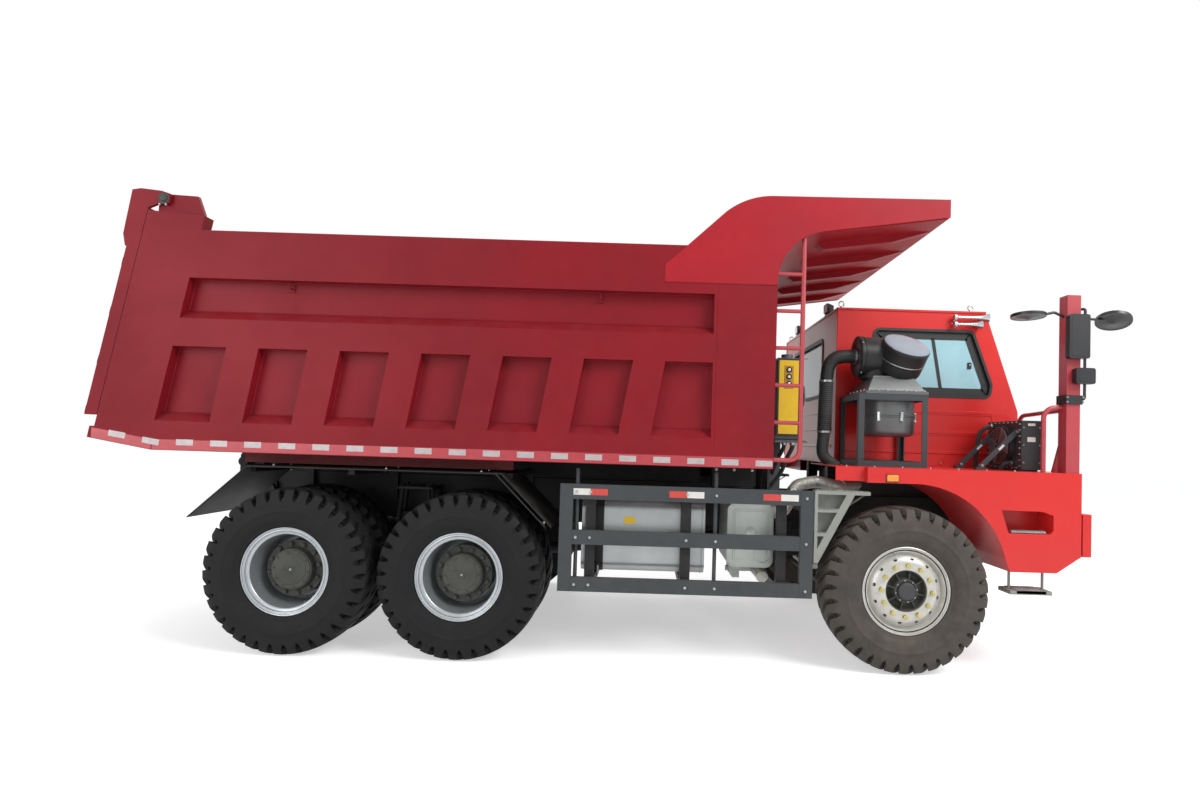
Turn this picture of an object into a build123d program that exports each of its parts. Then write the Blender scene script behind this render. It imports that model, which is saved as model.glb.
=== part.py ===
from build123d import *
import os

# Off-road mining dump truck, 6x4, cab set to the left. Millimetres.
# X forward, Y left, Z up. While it is built, x = 0 is the front axle and z = 0 is the ground.
# Every piece is moved by origin_to_front_axle when it is written, so that the origin of the
# finished truck lies on the ground under the middle of its box.
origin_to_front_axle = 2444.2

# running gear
wheelbase = 3600
bogie_spread = 1400
tyre_radius = 670
tyre_width = 380
tyre_shoulder = 300
shoulder_drop = 60
bulge_drop = 180
bead_width = 272
bead_radius = 318
rim_wall = 24
flange_radius = 355
flange_thickness = 16
outer_wheel_y = 1450
dual_spacing = 440
kingpin_y = 1200
kingpin_radius = 38
steering_limit = 32

# chassis
rail_outer_y = 430
rail_width = 90
rail_wall = 14
rail_bottom_z = 1000
rail_height = 340
rail_front_x = 1300
bolster_height = 80

# bed
bed_width = 3220
bed_wall = 120
bed_skin = 30
bed_bottom_z = 1615
bed_front_x = -1097
bed_front_wall = 60
bed_tail_rise = 87
bed_rail_z = 3415
post_top_z = 3550
post_width = 470
post_lean = 0.19
band_bottom_z = 3023
upper_ledge_z = 2690
middle_rail_z = 2462
lower_ledge_z = 1851
recess_depth = 90
ledge_rise = 70
front_post_x = -1607
rib_count = 6
rib_pitch = 660
rib_width = 262
rib_lean = 0.17
floor_bottom_z = 1690
floor_plate = 30
pivot_z = 1500
pivot_radius = 45
beam_inner_y = 330
beam_width = 110
beam_bottom_z = 1427
bed_limit = 45

# canopy
canopy_tip_x = 301
canopy_tip_z = 3711
canopy_slope = 0.141
canopy_plate = 25
canopy_bend = 430
gusset_plate = 16
gusset_seam_z = 3109
canopy_top_z = 3858
canopy_rib_ys = [-1200, -600, 0, 600, 1200]
canopy_rib_width = 90
canopy_rib_depth = 55

# tailgate
gate_thickness = 100
gate_gap = 8
gate_pin_z = 3668
gate_pin_radius = 22
gate_limit = 60

# cab
cab_right_y = -700
cab_left_y = 1600
cab_wall = 50
cab_rear_x = -348
cab_roof_z = 3130
cab_roof_front_x = 1050
cab_belt_x = 1366
cab_belt_z = 2194
cab_nose_x = 1378
glass_thickness = 6
door_rear_x = 60
door_front_x = 1000
door_sill_z = 1740
door_top_z = 3030
door_gap = 6
door_limit = 68

# deck and fenders
deck_z = 1656
deck_plate = 8
fender_y = 1600
fender_front_x = 1400
fender_inner_y = 780
arch_radius = 800
arch_top_z = 1532

# hoist
hoist_x = -880
hoist_foot_z = 1180
hoist_head_x = -960
hoist_head_z = 2960
hoist_stages = 3
hoist_outer_radius = 105
hoist_step = 19
hoist_wall = 11

pin_gap = 1.0
gap = 5.0


def block(x0, x1, y0, y1, z0, z1):
    return Pos((x0 + x1) / 2, (y0 + y1) / 2, (z0 + z1) / 2) * Box(x1 - x0, y1 - y0, z1 - z0)


def rod_x(x0, x1, y, z, radius):
    return Pos((x0 + x1) / 2, y, z) * Rot(0, 90, 0) * Cylinder(radius, x1 - x0)


def rod_y(x, y0, y1, z, radius):
    return Pos(x, (y0 + y1) / 2, z) * Rot(90, 0, 0) * Cylinder(radius, y1 - y0)


def rod_z(x, y, z0, z1, radius):
    return Pos(x, y, (z0 + z1) / 2) * Cylinder(radius, z1 - z0)


def side_shape(points, y0, y1):
    """A plate or block whose outline is drawn in the XZ plane and which reaches from y0 to y1."""
    return Pos(0, y1, 0) * extrude(Plane.XZ * make_face(Polyline(*points, close=True)), amount=y1 - y0)


def rounded_side_shape(points, radius, y0, y1):
    outline = FilletPolyline(*points, radius=radius, close=True)
    return Pos(0, y1, 0) * extrude(Plane.XZ * make_face(outline), amount=y1 - y0)


def end_shape(points, x0, x1):
    """A block whose outline is drawn in the YZ plane and which reaches from x0 to x1."""
    return Pos(x0, 0, 0) * extrude(Plane.YZ * make_face(Polyline(*points, close=True)), amount=x1 - x0)


def tube(points, radius, bend):
    """A bent round bar along the points, with the same bend radius at each corner."""
    path = FilletPolyline(*points, radius=bend) if len(points) > 2 else Line(*points)
    start = Plane(origin=path @ 0, z_dir=path % 0)
    return sweep(start * Circle(radius), path=path)


def bar(start, end, width, thickness, facing):
    """A straight flat bar from start to end; facing is the direction of its thickness."""
    along = Vector(*end) - Vector(*start)
    across = along.cross(Vector(*facing))
    middle = (Vector(*start) + Vector(*end)) * 0.5
    return Plane(origin=middle, x_dir=across, z_dir=along) * Box(width, thickness, along.length)


def save(name, *shapes):
    solids = [solid for shape in shapes for solid in shape.solids()]
    placed = [solid.moved(Location((origin_to_front_axle, 0, 0))) for solid in solids]
    whole = placed[0] if len(placed) == 1 else Compound(children=placed)
    export_step(whole, f"parts/{name}.step")


os.makedirs("parts", exist_ok=True)

axle_z = tyre_radius
mid_axle_x = -wheelbase
rear_axle_x = -wheelbase - bogie_spread
bogie_x = (mid_axle_x + rear_axle_x) / 2
inner_wheel_y = outer_wheel_y - dual_spacing

# places that follow the rear axle
pivot_x = rear_axle_x - 950
rail_rear_x = pivot_x - 110
bed_kink_x = pivot_x - 167
bed_tail_x = pivot_x - 688
gate_pin_x = pivot_x - 177
rib_first_x = bed_tail_x + 1085
rail_top_z = rail_bottom_z + rail_height
rail_inner_y = rail_outer_y - rail_width


# ---- wheels: profiles are (distance along the axle, radius), turned about the axle ----

def turned(points, x, y):
    """Turn a closed outline of (along axle, radius) about an axle through x, y and axle_z."""
    face = make_face(Polyline(*[(a, r) for a, r in points], close=True))
    return Pos(x, y, axle_z) * Rot(0, 0, 90) * revolve(face, Axis.X, 360)


def tyre(x, y):
    half = tyre_width / 2
    bead = bead_width / 2
    shoulder = tyre_shoulder / 2
    side_low = flange_radius + 6
    bulge_radius = tyre_radius - bulge_drop
    shoulder_radius = tyre_radius - shoulder_drop
    edges = [
        Line((-bead, bead_radius), (bead, bead_radius)),
        Line((bead, bead_radius), (bead, side_low)),
        ThreePointArc((bead, side_low), (half, bulge_radius), (half - 14, shoulder_radius)),
        Line((half - 14, shoulder_radius), (shoulder, tyre_radius - 12)),
        ThreePointArc((shoulder, tyre_radius - 12), (0, tyre_radius), (-shoulder, tyre_radius - 12)),
        Line((-shoulder, tyre_radius - 12), (14 - half, shoulder_radius)),
        ThreePointArc((14 - half, shoulder_radius), (-half, bulge_radius), (-bead, side_low)),
        Line((-bead, side_low), (-bead, bead_radius)),
    ]
    face = make_face(edges)
    return Pos(x, y, axle_z) * Rot(0, 0, 90) * revolve(face, Axis.X, 360)


rear_disc_offset = 205
front_disc_offset = 150
disc_thickness = 22
spindle_radius = 60
rear_hub_radius = 170
rear_hub_out_y = 1500
hub_flange_y = 1424
drum_radius = 240
drum_in_y = 985
front_hub_radius = 172
front_hub_in_y = kingpin_y + 105
cap_radius = 97
axle_tube_radius = 115
axle_tube_y = 975


def rim(x, y, disc_side, disc_offset):
    """Rim barrel with two flanges and a disc; disc_side is +1 for left and -1 for right."""
    bead = bead_width / 2
    lip = bead + flange_thickness
    inner = bead_radius - rim_wall
    outline = [
        (-lip, flange_radius), (-bead, flange_radius), (-bead, bead_radius),
        (bead, bead_radius), (bead, flange_radius), (lip, flange_radius), (lip, inner),
        (disc_offset, inner - 55), (disc_offset, spindle_radius + pin_gap),
        (disc_offset - disc_thickness, spindle_radius + pin_gap),
        (disc_offset - disc_thickness, inner - 75), (bead - 30, inner), (-lip, inner),
    ]
    return turned([(disc_side * a, r) for a, r in outline], x, y)


def hub_body(x, side, outline):
    """Hub parts turned about the axle; the outline's first column is the distance from the centre line."""
    return turned([(side * a, r) for a, r in outline], x, 0)


def dual_wheel(x, side):
    bore = spindle_radius + pin_gap
    inner_disc_y = inner_wheel_y + rear_disc_offset
    bore_end_y = rear_hub_out_y - 45
    hub = hub_body(
        x, side,
        [
            (drum_in_y, bore), (drum_in_y, drum_radius), (inner_disc_y - disc_thickness, drum_radius),
            (inner_disc_y - disc_thickness, bore + 60), (inner_disc_y, bore + 60),
            (inner_disc_y, drum_radius - 10),
            (hub_flange_y, drum_radius - 10), (hub_flange_y, rear_hub_radius),
            (rear_hub_out_y - 30, rear_hub_radius),
            (rear_hub_out_y, rear_hub_radius - 35), (rear_hub_out_y, 0), (bore_end_y, 0), (bore_end_y, bore),
        ],
    )
    outer = rim(x, side * outer_wheel_y, -side, rear_disc_offset)
    inner = rim(x, side * inner_wheel_y, side, rear_disc_offset)
    return hub + outer + inner


def front_wheel(side):
    bore = spindle_radius + pin_gap
    disc_y = outer_wheel_y + front_disc_offset
    bore_end_y = disc_y - 60
    hub = hub_body(
        0, side,
        [
            (front_hub_in_y, bore), (front_hub_in_y, drum_radius), (disc_y - 110, drum_radius),
            (disc_y - 90, front_hub_radius), (disc_y - 12, front_hub_radius), (disc_y - 12, cap_radius),
            (disc_y + 12, cap_radius), (disc_y + 28, cap_radius - 27), (disc_y + 28, 0),
            (bore_end_y, 0), (bore_end_y, bore),
        ],
    )
    return hub + rim(0, side * outer_wheel_y, side, front_disc_offset)


side_names = [("right", -1), ("left", 1)]

for side_name, side in side_names:
    save(f"front_{side_name}_tyre", tyre(0, side * outer_wheel_y))
    save(f"front_{side_name}_rim", front_wheel(side))
    for axle_name, axle_x in [("mid", mid_axle_x), ("rear", rear_axle_x)]:
        save(
            f"{axle_name}_{side_name}_tyres",
            tyre(axle_x, side * outer_wheel_y),
            tyre(axle_x, side * inner_wheel_y),
        )
        save(f"{axle_name}_{side_name}_rims", dual_wheel(axle_x, side))


# ---- front axle, knuckles and tie rod ----

beam_height = 150
beam_eye_half = 80
beam_eye_radius = 72
knuckle_cheek = 55
knuckle_radius = 78
knuckle_gap = 3
arm_length = 330
arm_width = 80
arm_thickness_z = 45
tie_rod_radius = 26
tie_rod_drop = 60


def make_front_axle():
    beam = end_shape(
        [
            (-kingpin_y, axle_z - 50), (-760, axle_z - 60), (-640, axle_z - 170), (640, axle_z - 170),
            (760, axle_z - 60), (kingpin_y, axle_z - 50), (kingpin_y, axle_z + 50), (720, axle_z + 45),
            (600, axle_z - 170 + beam_height), (-600, axle_z - 170 + beam_height), (-720, axle_z + 45),
            (-kingpin_y, axle_z + 50),
        ],
        -65, 65,
    )
    eyes = [
        rod_z(0, side * kingpin_y, axle_z - beam_eye_half, axle_z + beam_eye_half, beam_eye_radius)
        - rod_z(0, side * kingpin_y, axle_z - 200, axle_z + 200, kingpin_radius + pin_gap)
        for side in (-1, 1)
    ]
    bores = [
        rod_z(0, side * kingpin_y, axle_z - 200, axle_z + 200, kingpin_radius + pin_gap) for side in (-1, 1)
    ]
    return (beam - bores[0] - bores[1]) + eyes[0] + eyes[1]


def make_knuckle(side):
    """Two cheeks joined outside the beam eye, the king pin between them, the spindle and the steering arm."""
    low = axle_z - beam_eye_half - knuckle_gap
    high = axle_z + beam_eye_half + knuckle_gap
    y = side * kingpin_y
    cheeks = rod_z(0, y, low - knuckle_cheek, low, knuckle_radius)
    cheeks += rod_z(0, y, high, high + knuckle_cheek, knuckle_radius)
    pin = rod_z(0, y, low - 5, high + 5, kingpin_radius)
    web_y = sorted([y + side * (beam_eye_radius + 8), y + side * (beam_eye_radius + 28)])
    web = block(-70, 70, *web_y, low - knuckle_cheek, high + knuckle_cheek)
    ties_y = sorted([y, web_y[0] if side > 0 else web_y[1]])
    ties = block(-60, 60, *ties_y, low - knuckle_cheek, low)
    ties += block(-60, 60, *ties_y, high, high + knuckle_cheek)
    spindle_y = sorted([side * (kingpin_y + beam_eye_radius + 20), side * (outer_wheel_y + 80)])
    spindle = rod_y(0, *spindle_y, axle_z, spindle_radius)
    half = arm_width / 2
    arm = block(-arm_length - half, 40, y - half, y + half, arm_bottom_z, low - knuckle_cheek)
    return cheeks + pin + web + ties + spindle + arm




arm_bottom_z = axle_z - beam_eye_half - knuckle_gap - knuckle_cheek - arm_thickness_z

save("front_axle", make_front_axle())
for side_name, side in side_names:
    save(f"knuckle_{side_name}", make_knuckle(side))

tie_z = arm_bottom_z - tie_rod_drop / 2 - 4
tie_rod = rod_y(-arm_length, -kingpin_y, kingpin_y, tie_z, tie_rod_radius)
for side in (-1, 1):
    tie_rod += rod_z(-arm_length, side * kingpin_y, tie_z - 34, arm_bottom_z - 2, 34)
save("tie_rod", tie_rod)


# ---- chassis frame ----

cross_xs = [rear_axle_x - 700, rear_axle_x + 50, mid_axle_x, mid_axle_x + 700, -1900, -1300, 1200]
cross_radius = 70
pivot_bracket_inner_y = rail_outer_y + 40
pivot_bracket_thickness = 30
outrigger_size = 80
nose_beam_half = 1500
deck_post_xs = [-290, 1225]


def make_chassis():
    frame = None
    for side in (-1, 1):
        y = sorted([side * rail_outer_y, side * rail_inner_y])
        hollow_y = sorted([side * (rail_outer_y - rail_wall), side * (rail_inner_y - 1)])
        rail = block(rail_rear_x, rail_front_x, *y, rail_bottom_z, rail_top_z)
        rail -= block(
            rail_rear_x - 1, rail_front_x + 1, *hollow_y, rail_bottom_z + rail_wall, rail_top_z - rail_wall
        )
        bolster = block(rail_rear_x + 250, bed_front_x - 150, *y, rail_top_z, rail_top_z + bolster_height)
        frame = rail + bolster if frame is None else frame + rail + bolster
    middle_z = (rail_bottom_z + rail_top_z) / 2
    for x in cross_xs:
        frame += rod_y(x, -rail_outer_y + rail_wall, rail_outer_y - rail_wall, middle_z, cross_radius)
    frame += block(rail_rear_x, rail_rear_x + 40, -rail_outer_y, rail_outer_y, rail_bottom_z, rail_top_z)
    frame += block(
        rail_front_x, rail_front_x + 40, -nose_beam_half, nose_beam_half, rail_bottom_z + 10, rail_top_z - 10
    )
    for side in (-1, 1):
        for x in deck_post_xs:
            y = sorted([side * rail_outer_y, side * rail_inner_y])
            frame += block(x - 50, x + 50, *y, rail_top_z, deck_z - deck_plate)
        for x in outrigger_xs:
            frame += side_bracket(x, side)
    return frame + make_pivot_brackets() + make_hoist_foot()


def make_pivot_brackets():
    """Plates outside both rails that hold the bed's pivot tube, and a plate that ties them to the rail."""
    brackets = None
    for side in (-1, 1):
        inner_y = pivot_bracket_inner_y
        plate_y = sorted([side * inner_y, side * (inner_y + pivot_bracket_thickness)])
        plate = side_shape(
            [
                (pivot_x - 95, rail_bottom_z + 60), (pivot_x + 330, rail_bottom_z + 60),
                (pivot_x + 95, pivot_z + 60), (pivot_x + 60, pivot_z + 95),
                (pivot_x - 60, pivot_z + 95), (pivot_x - 95, pivot_z + 60),
            ],
            *plate_y,
        )
        plate -= rod_y(pivot_x, -800, 800, pivot_z, pivot_radius + pin_gap)
        tie_y = sorted([side * rail_outer_y, side * inner_y])
        tie = block(pivot_x - 95, pivot_x + 250, *tie_y, rail_bottom_z + 60, rail_top_z - 40)
        brackets = plate + tie if brackets is None else brackets + plate + tie
    return brackets


hoist_foot_half = 150
hoist_foot_pin_radius = 42
hoist_foot_lug = 30
hoist_cross_bottom_z = 1050


def make_hoist_foot():
    """A cross member with two lugs that carry the hoist's lower trunnions."""
    web_y = rail_outer_y - rail_wall
    foot = block(hoist_x - 150, hoist_x + 150, -web_y, web_y, hoist_cross_bottom_z, hoist_cross_bottom_z + 30)
    for side in (-1, 1):
        lug_y = sorted([side * hoist_foot_half, side * (hoist_foot_half + hoist_foot_lug)])
        lug = block(hoist_x - 90, hoist_x + 90, *lug_y, hoist_cross_bottom_z, hoist_foot_z + 70)
        lug -= rod_y(hoist_x, -400, 400, hoist_foot_z, hoist_foot_pin_radius + pin_gap)
        foot += lug
    return foot


# ---- springs and driven axles ----

leaf_width = 95
leaf_y = 640
front_leaf_y = 520
leaf_thickness = 24
front_leaf_lengths = [1560, 1560, 1300, 1060, 820, 580, 380]
bogie_leaf_lengths = [1500, 1500, 1320, 1130, 950, 770, 590, 420]
bogie_leaf_bottom_z = 800


def leaf_pack(x, y, start_z, step, lengths):
    """Leaves stacked up (step > 0) or down (step < 0) from start_z, longest first."""
    pack = None
    z = start_z
    for length in lengths:
        low, high = sorted([z, z + step])
        leaf = block(x - length / 2, x + length / 2, y - leaf_width / 2, y + leaf_width / 2, low, high)
        pack = leaf if pack is None else pack + leaf
        z += step
    return pack


def make_front_springs():
    springs = []
    top = axle_z - 170 + beam_height + leaf_thickness * len(front_leaf_lengths)
    for side in (-1, 1):
        y = side * front_leaf_y
        pack = leaf_pack(0, y, top, -leaf_thickness, front_leaf_lengths)
        for end in (-1, 1):
            x = end * (front_leaf_lengths[0] / 2 - 30)
            hanger_y = sorted([side * rail_outer_y, y + side * leaf_width / 2])
            pack += rod_y(x, *hanger_y, top - 10, 40)
            pack += block(x - 45, x + 45, *hanger_y, top, rail_bottom_z + 90)
        springs.append(pack)
    return springs


def make_bogie_springs():
    """Leaf packs that stand on the two driven axles and carry the frame at their middle."""
    springs = []
    height = leaf_thickness * len(bogie_leaf_lengths)
    for side in (-1, 1):
        y = side * leaf_y
        pack = leaf_pack(bogie_x, y, bogie_leaf_bottom_z, leaf_thickness, bogie_leaf_lengths)
        saddle_y = sorted([side * rail_outer_y, y + side * leaf_width / 2])
        top = bogie_leaf_bottom_z + height
        pack += block(bogie_x - 130, bogie_x + 130, *saddle_y, top, top + 90)
        foot_y = sorted([side * rail_outer_y, side * (rail_outer_y + 60)])
        pack += block(bogie_x - 200, bogie_x + 200, *foot_y,
                      bogie_leaf_bottom_z - 140, rail_top_z - 20)
        pack += rod_y(bogie_x, *sorted([side * rail_outer_y, y + side * 90]), bogie_leaf_bottom_z - 60, 75)
        pack += block(bogie_x - 90, bogie_x + 90, y - leaf_width / 2, y + leaf_width / 2,
                      bogie_leaf_bottom_z - 60, bogie_leaf_bottom_z)
        springs.append(pack)
    return springs


bowl_radius = 265
bowl_half = 150
axle_seat_top = bogie_leaf_bottom_z


def driven_axle(x):
    tube_ = rod_y(x, -axle_tube_y, axle_tube_y, axle_z, axle_tube_radius)
    bowl = rod_y(x, -bowl_half, bowl_half, axle_z, bowl_radius)
    nose = rod_x(x, x + axle_nose_length, 0, axle_z, 120)
    spindle_end = rear_hub_out_y - 50
    spindle = rod_y(x, -spindle_end, spindle_end, axle_z, spindle_radius)
    seats = [
        block(x - 90, x + 90, side * leaf_y - 70, side * leaf_y + 70, axle_z + 60, axle_seat_top)
        for side in (-1, 1)
    ]
    return tube_ + bowl + nose + spindle + seats[0] + seats[1]


engine_rear_x = -230
engine_front_x = 1120
engine_half_width = 325
engine_bottom_z = 760
engine_top_z = 1590
gearbox_rear_x = -690
gearbox_half = 190
shaft_radius = 55
shaft_start_z = 930
shaft_flange_radius = 90
shaft_flange = 30
axle_nose_length = 420


def shaft_between(x0, z0, x1, z1):
    """A shaft running back from x0 to x1, with an upright flange at each end."""
    start, end = Vector(x0 - shaft_flange / 2, 0, z0), Vector(x1 + shaft_flange / 2, 0, z1)
    axis = end - start
    shaft = Plane(origin=(start + end) * 0.5, z_dir=axis) * Cylinder(shaft_radius, axis.length)
    shaft += rod_x(x0 - shaft_flange, x0, 0, z0, shaft_flange_radius)
    return shaft + rod_x(x1, x1 + shaft_flange, 0, z1, shaft_flange_radius)


def make_engine():
    """Engine and gearbox as one plain mass between the rails."""
    engine = block(
        engine_rear_x, engine_front_x, -engine_half_width, engine_half_width, engine_bottom_z, engine_top_z
    )
    gearbox = block(
        gearbox_rear_x, engine_rear_x, -gearbox_half, gearbox_half, shaft_start_z - 150, shaft_start_z + 190
    )
    return engine + gearbox


save("front_springs", *make_front_springs())
save("bogie_springs", *make_bogie_springs())
save("drive_axles", driven_axle(mid_axle_x), driven_axle(rear_axle_x))
save("engine_block", make_engine())
save(
    "drive_shafts",
    shaft_between(gearbox_rear_x, shaft_start_z, mid_axle_x + axle_nose_length, axle_z),
    shaft_between(mid_axle_x - bowl_radius, axle_z, rear_axle_x + axle_nose_length, axle_z),
)


# ---- bed ----

bed_outer_y = bed_width / 2
bed_inner_y = bed_outer_y - bed_wall


def post_rear_x(z):
    """The rear edge of the leaning corner post, at height z."""
    return bed_tail_x + 37 + (z - bed_bottom_z - bed_tail_rise) * post_lean


def post_front_x(z):
    return post_rear_x(z) + post_width


canopy_rib_end_x = canopy_tip_x - 340


def canopy_under_z(x):
    return canopy_tip_z - (canopy_tip_x - x) * canopy_slope


def gusset_outline(rear_x):
    """The canopy's side plate: a step at its rear end, a straight rise and a rounded crest."""
    bend_x = bed_front_x + 0.86 * canopy_bend
    low = Line((rear_x, gusset_seam_z), (rear_x, gusset_seam_z + 150))
    step = Line(low @ 1, (rear_x + 180, bed_rail_z))
    rise = Line(step @ 1, (rear_x + 485, canopy_top_z - 158))
    crest = ThreePointArc(
        rise @ 1, (rear_x + 640, canopy_top_z - 63), (rear_x + 880, canopy_top_z - 14)
    )
    top = Line(crest @ 1, (canopy_tip_x, canopy_top_z))
    nose = Line(top @ 1, (canopy_tip_x, canopy_tip_z))
    under = Line(nose @ 1, (bend_x, canopy_under_z(bend_x)))
    corner = ThreePointArc(
        under @ 1,
        (bed_front_x + 0.27 * canopy_bend, gusset_seam_z + 31 + 0.68 * canopy_bend),
        (bed_front_x, gusset_seam_z + 31),
    )
    wall = Line(corner @ 1, (bed_front_x, gusset_seam_z))
    base = Line(wall @ 1, low @ 0)
    return make_face([low, step, rise, crest, top, nose, under, corner, wall, base])


def make_canopy_gusset(side):
    face = gusset_outline(front_post_x - 412)
    plate = extrude(Plane.XZ * face, amount=gusset_plate)
    y = bed_outer_y if side > 0 else -bed_outer_y + gusset_plate
    return Pos(0, y, 0) * plate


def make_canopy():
    """A plate that goes on up from the front wall, bends forward and runs out over the cab."""
    bend_x = bed_front_x + 0.86 * canopy_bend
    start = (bed_front_x, gusset_seam_z)
    upright = Line(start, (bed_front_x, gusset_seam_z + 31))
    corner = ThreePointArc(
        upright @ 1,
        (bed_front_x + 0.27 * canopy_bend, gusset_seam_z + 31 + 0.68 * canopy_bend),
        (bend_x, canopy_under_z(bend_x)),
    )
    run = Line(corner @ 1, (canopy_tip_x, canopy_tip_z))
    spread = canopy_plate
    tip = Line(run @ 1, (canopy_tip_x, canopy_tip_z + spread))
    back_run = Line(tip @ 1, (bend_x - 4, canopy_under_z(bend_x) + spread))
    back_corner = ThreePointArc(
        back_run @ 1,
        (bed_front_x + 0.27 * canopy_bend - 18, gusset_seam_z + 31 + 0.68 * canopy_bend + 18),
        (bed_front_x - spread, gusset_seam_z + 31),
    )
    back_upright = Line(back_corner @ 1, (bed_front_x - spread, gusset_seam_z))
    close = Line(back_upright @ 1, start)
    face = make_face([upright, corner, run, tip, back_run, back_corner, back_upright, close])
    inner = bed_outer_y - gusset_plate
    plate = Pos(0, inner, 0) * extrude(Plane.XZ * face, amount=2 * inner)
    lip = block(canopy_tip_x - 12, canopy_tip_x, -inner, inner, canopy_tip_z, canopy_top_z - 60)
    canopy = plate + lip
    for y in canopy_rib_ys:
        start_x = bend_x + 30
        rib = side_shape(
            [
                (start_x, canopy_under_z(start_x)),
                (start_x + 60, canopy_under_z(start_x + 60) - canopy_rib_depth),
                (canopy_rib_end_x, canopy_under_z(canopy_rib_end_x) - canopy_rib_depth),
                (canopy_tip_x - 12, canopy_under_z(canopy_tip_x - 12)),
            ],
            y - canopy_rib_width / 2, y + canopy_rib_width / 2,
        )
        canopy += rib
    return canopy + make_canopy_gusset(-1) + make_canopy_gusset(1)


canopy = make_canopy()
floor_tail_top_z = floor_bottom_z + floor_plate + 80


def side_outline():
    return [
        (bed_front_x, bed_bottom_z), (bed_kink_x, bed_bottom_z), (bed_tail_x, bed_bottom_z + bed_tail_rise),
        (bed_tail_x + 16, floor_tail_top_z - 6), (post_rear_x(floor_tail_top_z - 6), floor_tail_top_z - 6),
        (post_rear_x(post_top_z + 17), post_top_z + 17), (post_front_x(post_top_z - 17), post_top_z - 17),
        (post_front_x(bed_rail_z), bed_rail_z), (bed_front_x, bed_rail_z),
    ]


def recess(region, bottom_z, top_z, side):
    """A pocket in the wall's outer face, within a side-view region, whose bottom slopes outwards."""
    outer = side * (bed_outer_y + 1)
    inner = side * (bed_outer_y - recess_depth)
    section = end_shape(
        [(outer, top_z), (inner, top_z), (inner, bottom_z + ledge_rise), (outer, bottom_z)],
        bed_tail_x, bed_front_x,
    )
    return section & side_shape(region, *sorted([outer, inner]))


def make_bed_side(side):
    outer = side * bed_outer_y
    wall = side_shape(side_outline(), *sorted([outer, side * bed_inner_y]))
    wall += back_of_gusset(side)
    for region, bottom_z, top_z in recess_regions():
        wall -= recess(region, bottom_z, top_z, side)
    return wall - canopy + make_gate_ear(side)


def back_of_gusset(side):
    """The part of the wall that stands up behind the canopy's side plate."""
    y = bed_outer_y - gusset_plate if side > 0 else -bed_inner_y
    up = Pos(0, y, 0) * extrude(
        Plane.XZ * gusset_outline(front_post_x - 412), amount=bed_wall - gusset_plate
    )
    behind = block(bed_tail_x, bed_front_x - bed_front_wall - 2, *sorted([0, side * 2000]), 3000, 3840)
    return up & behind


def recess_regions():
    """Side-view outlines of the pockets: one long upper pocket, then one beside each slanted rib."""
    regions = [
        (
            [
                (post_front_x(upper_ledge_z), upper_ledge_z), (front_post_x, upper_ledge_z),
                (front_post_x, band_bottom_z), (post_front_x(band_bottom_z), band_bottom_z),
            ],
            upper_ledge_z, band_bottom_z,
        )
    ]
    low, high = lower_ledge_z, middle_rail_z
    shift = (high - low) * rib_lean
    for i in range(rib_count + 1):
        if i == 0:
            left_low, left_high = post_front_x(low), post_front_x(high)
        else:
            left_high = rib_first_x + (i - 1) * rib_pitch + rib_width
            left_low = left_high - shift
        if i == rib_count:
            right_low = right_high = front_post_x
        else:
            right_high = rib_first_x + i * rib_pitch
            right_low = right_high - shift
        region = [(left_low, low), (right_low, low), (right_high, high), (left_high, high)]
        regions.append((region, low, high))
    return regions


ear_thickness = 34


def make_gate_ear(side):
    """A plate on top of the corner post, with the bore for the tailgate's pin."""
    y = sorted([side * (bed_outer_y - 40 - ear_thickness), side * (bed_outer_y - 40)])
    top = gate_pin_z + 50
    ear = side_shape(
        [
            (post_rear_x(post_top_z) + 60, post_top_z - 20), (gate_pin_x - 60, top),
            (post_front_x(post_top_z) - 90, top - 15), (post_front_x(post_top_z) - 60, top - 90),
            (post_front_x(post_top_z) - 20, post_top_z - 30),
        ],
        *y,
    )
    return ear - rod_y(gate_pin_x, -2000, 2000, gate_pin_z, gate_pin_radius + pin_gap)


hoist_recess_half = 200
hoist_recess_top_z = 3060
hoist_recess_depth = 430
recess_plate = 14
lug_thickness = 30
hoist_eye_half = 60


def hoist_recess_shape(grow):
    """The wedge of space that the leaning hoist needs behind the front wall's face."""
    return side_shape(
        [
            (bed_front_x + 20, bed_bottom_z - 300), (bed_front_x + 20, hoist_recess_top_z + grow),
            (bed_front_x - 60 - grow, hoist_recess_top_z + grow),
            (bed_front_x - hoist_recess_depth - grow, bed_bottom_z), (bed_front_x - hoist_recess_depth - grow,
                                                                      bed_bottom_z - 300),
        ],
        -hoist_recess_half - grow, hoist_recess_half + grow,
    )


def front_wall_shape(low, high):
    """The wall's plate and the box round the hoist, between two heights."""
    inner = bed_inner_y
    wall = block(bed_front_x - bed_front_wall, bed_front_x, -inner, inner, low, high)
    box = hoist_recess_shape(recess_plate) & block(bed_front_x - 800, bed_front_x, -inner, inner, low, high)
    return wall + box - hoist_recess_shape(0)


def make_front_wall():
    wall = front_wall_shape(floor_bottom_z, gusset_seam_z)
    for side in (-1, 1):
        lug_y = sorted([side * (hoist_eye_half + gap), side * (hoist_eye_half + gap + lug_thickness)])
        lug = side_shape(
            [
                (bed_front_x - 90, hoist_head_z + 170), (hoist_head_x + 60, hoist_head_z + 60),
                (hoist_head_x + 60, hoist_head_z - 60), (hoist_head_x - 30, hoist_head_z - 60),
                (bed_front_x - 20, hoist_recess_top_z + recess_plate + 2),
                (bed_front_x - 90, hoist_recess_top_z + recess_plate + 2),
            ],
            *lug_y,
        )
        wall += lug
    return wall


floor_cross_count = 10
beam_cross_count = 4
floor_cross_width = 90
stringer_x = (rear_axle_x - 500, mid_axle_x + 358)
stringer_y = 1330
stringer_bottom_z = 1530


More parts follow.
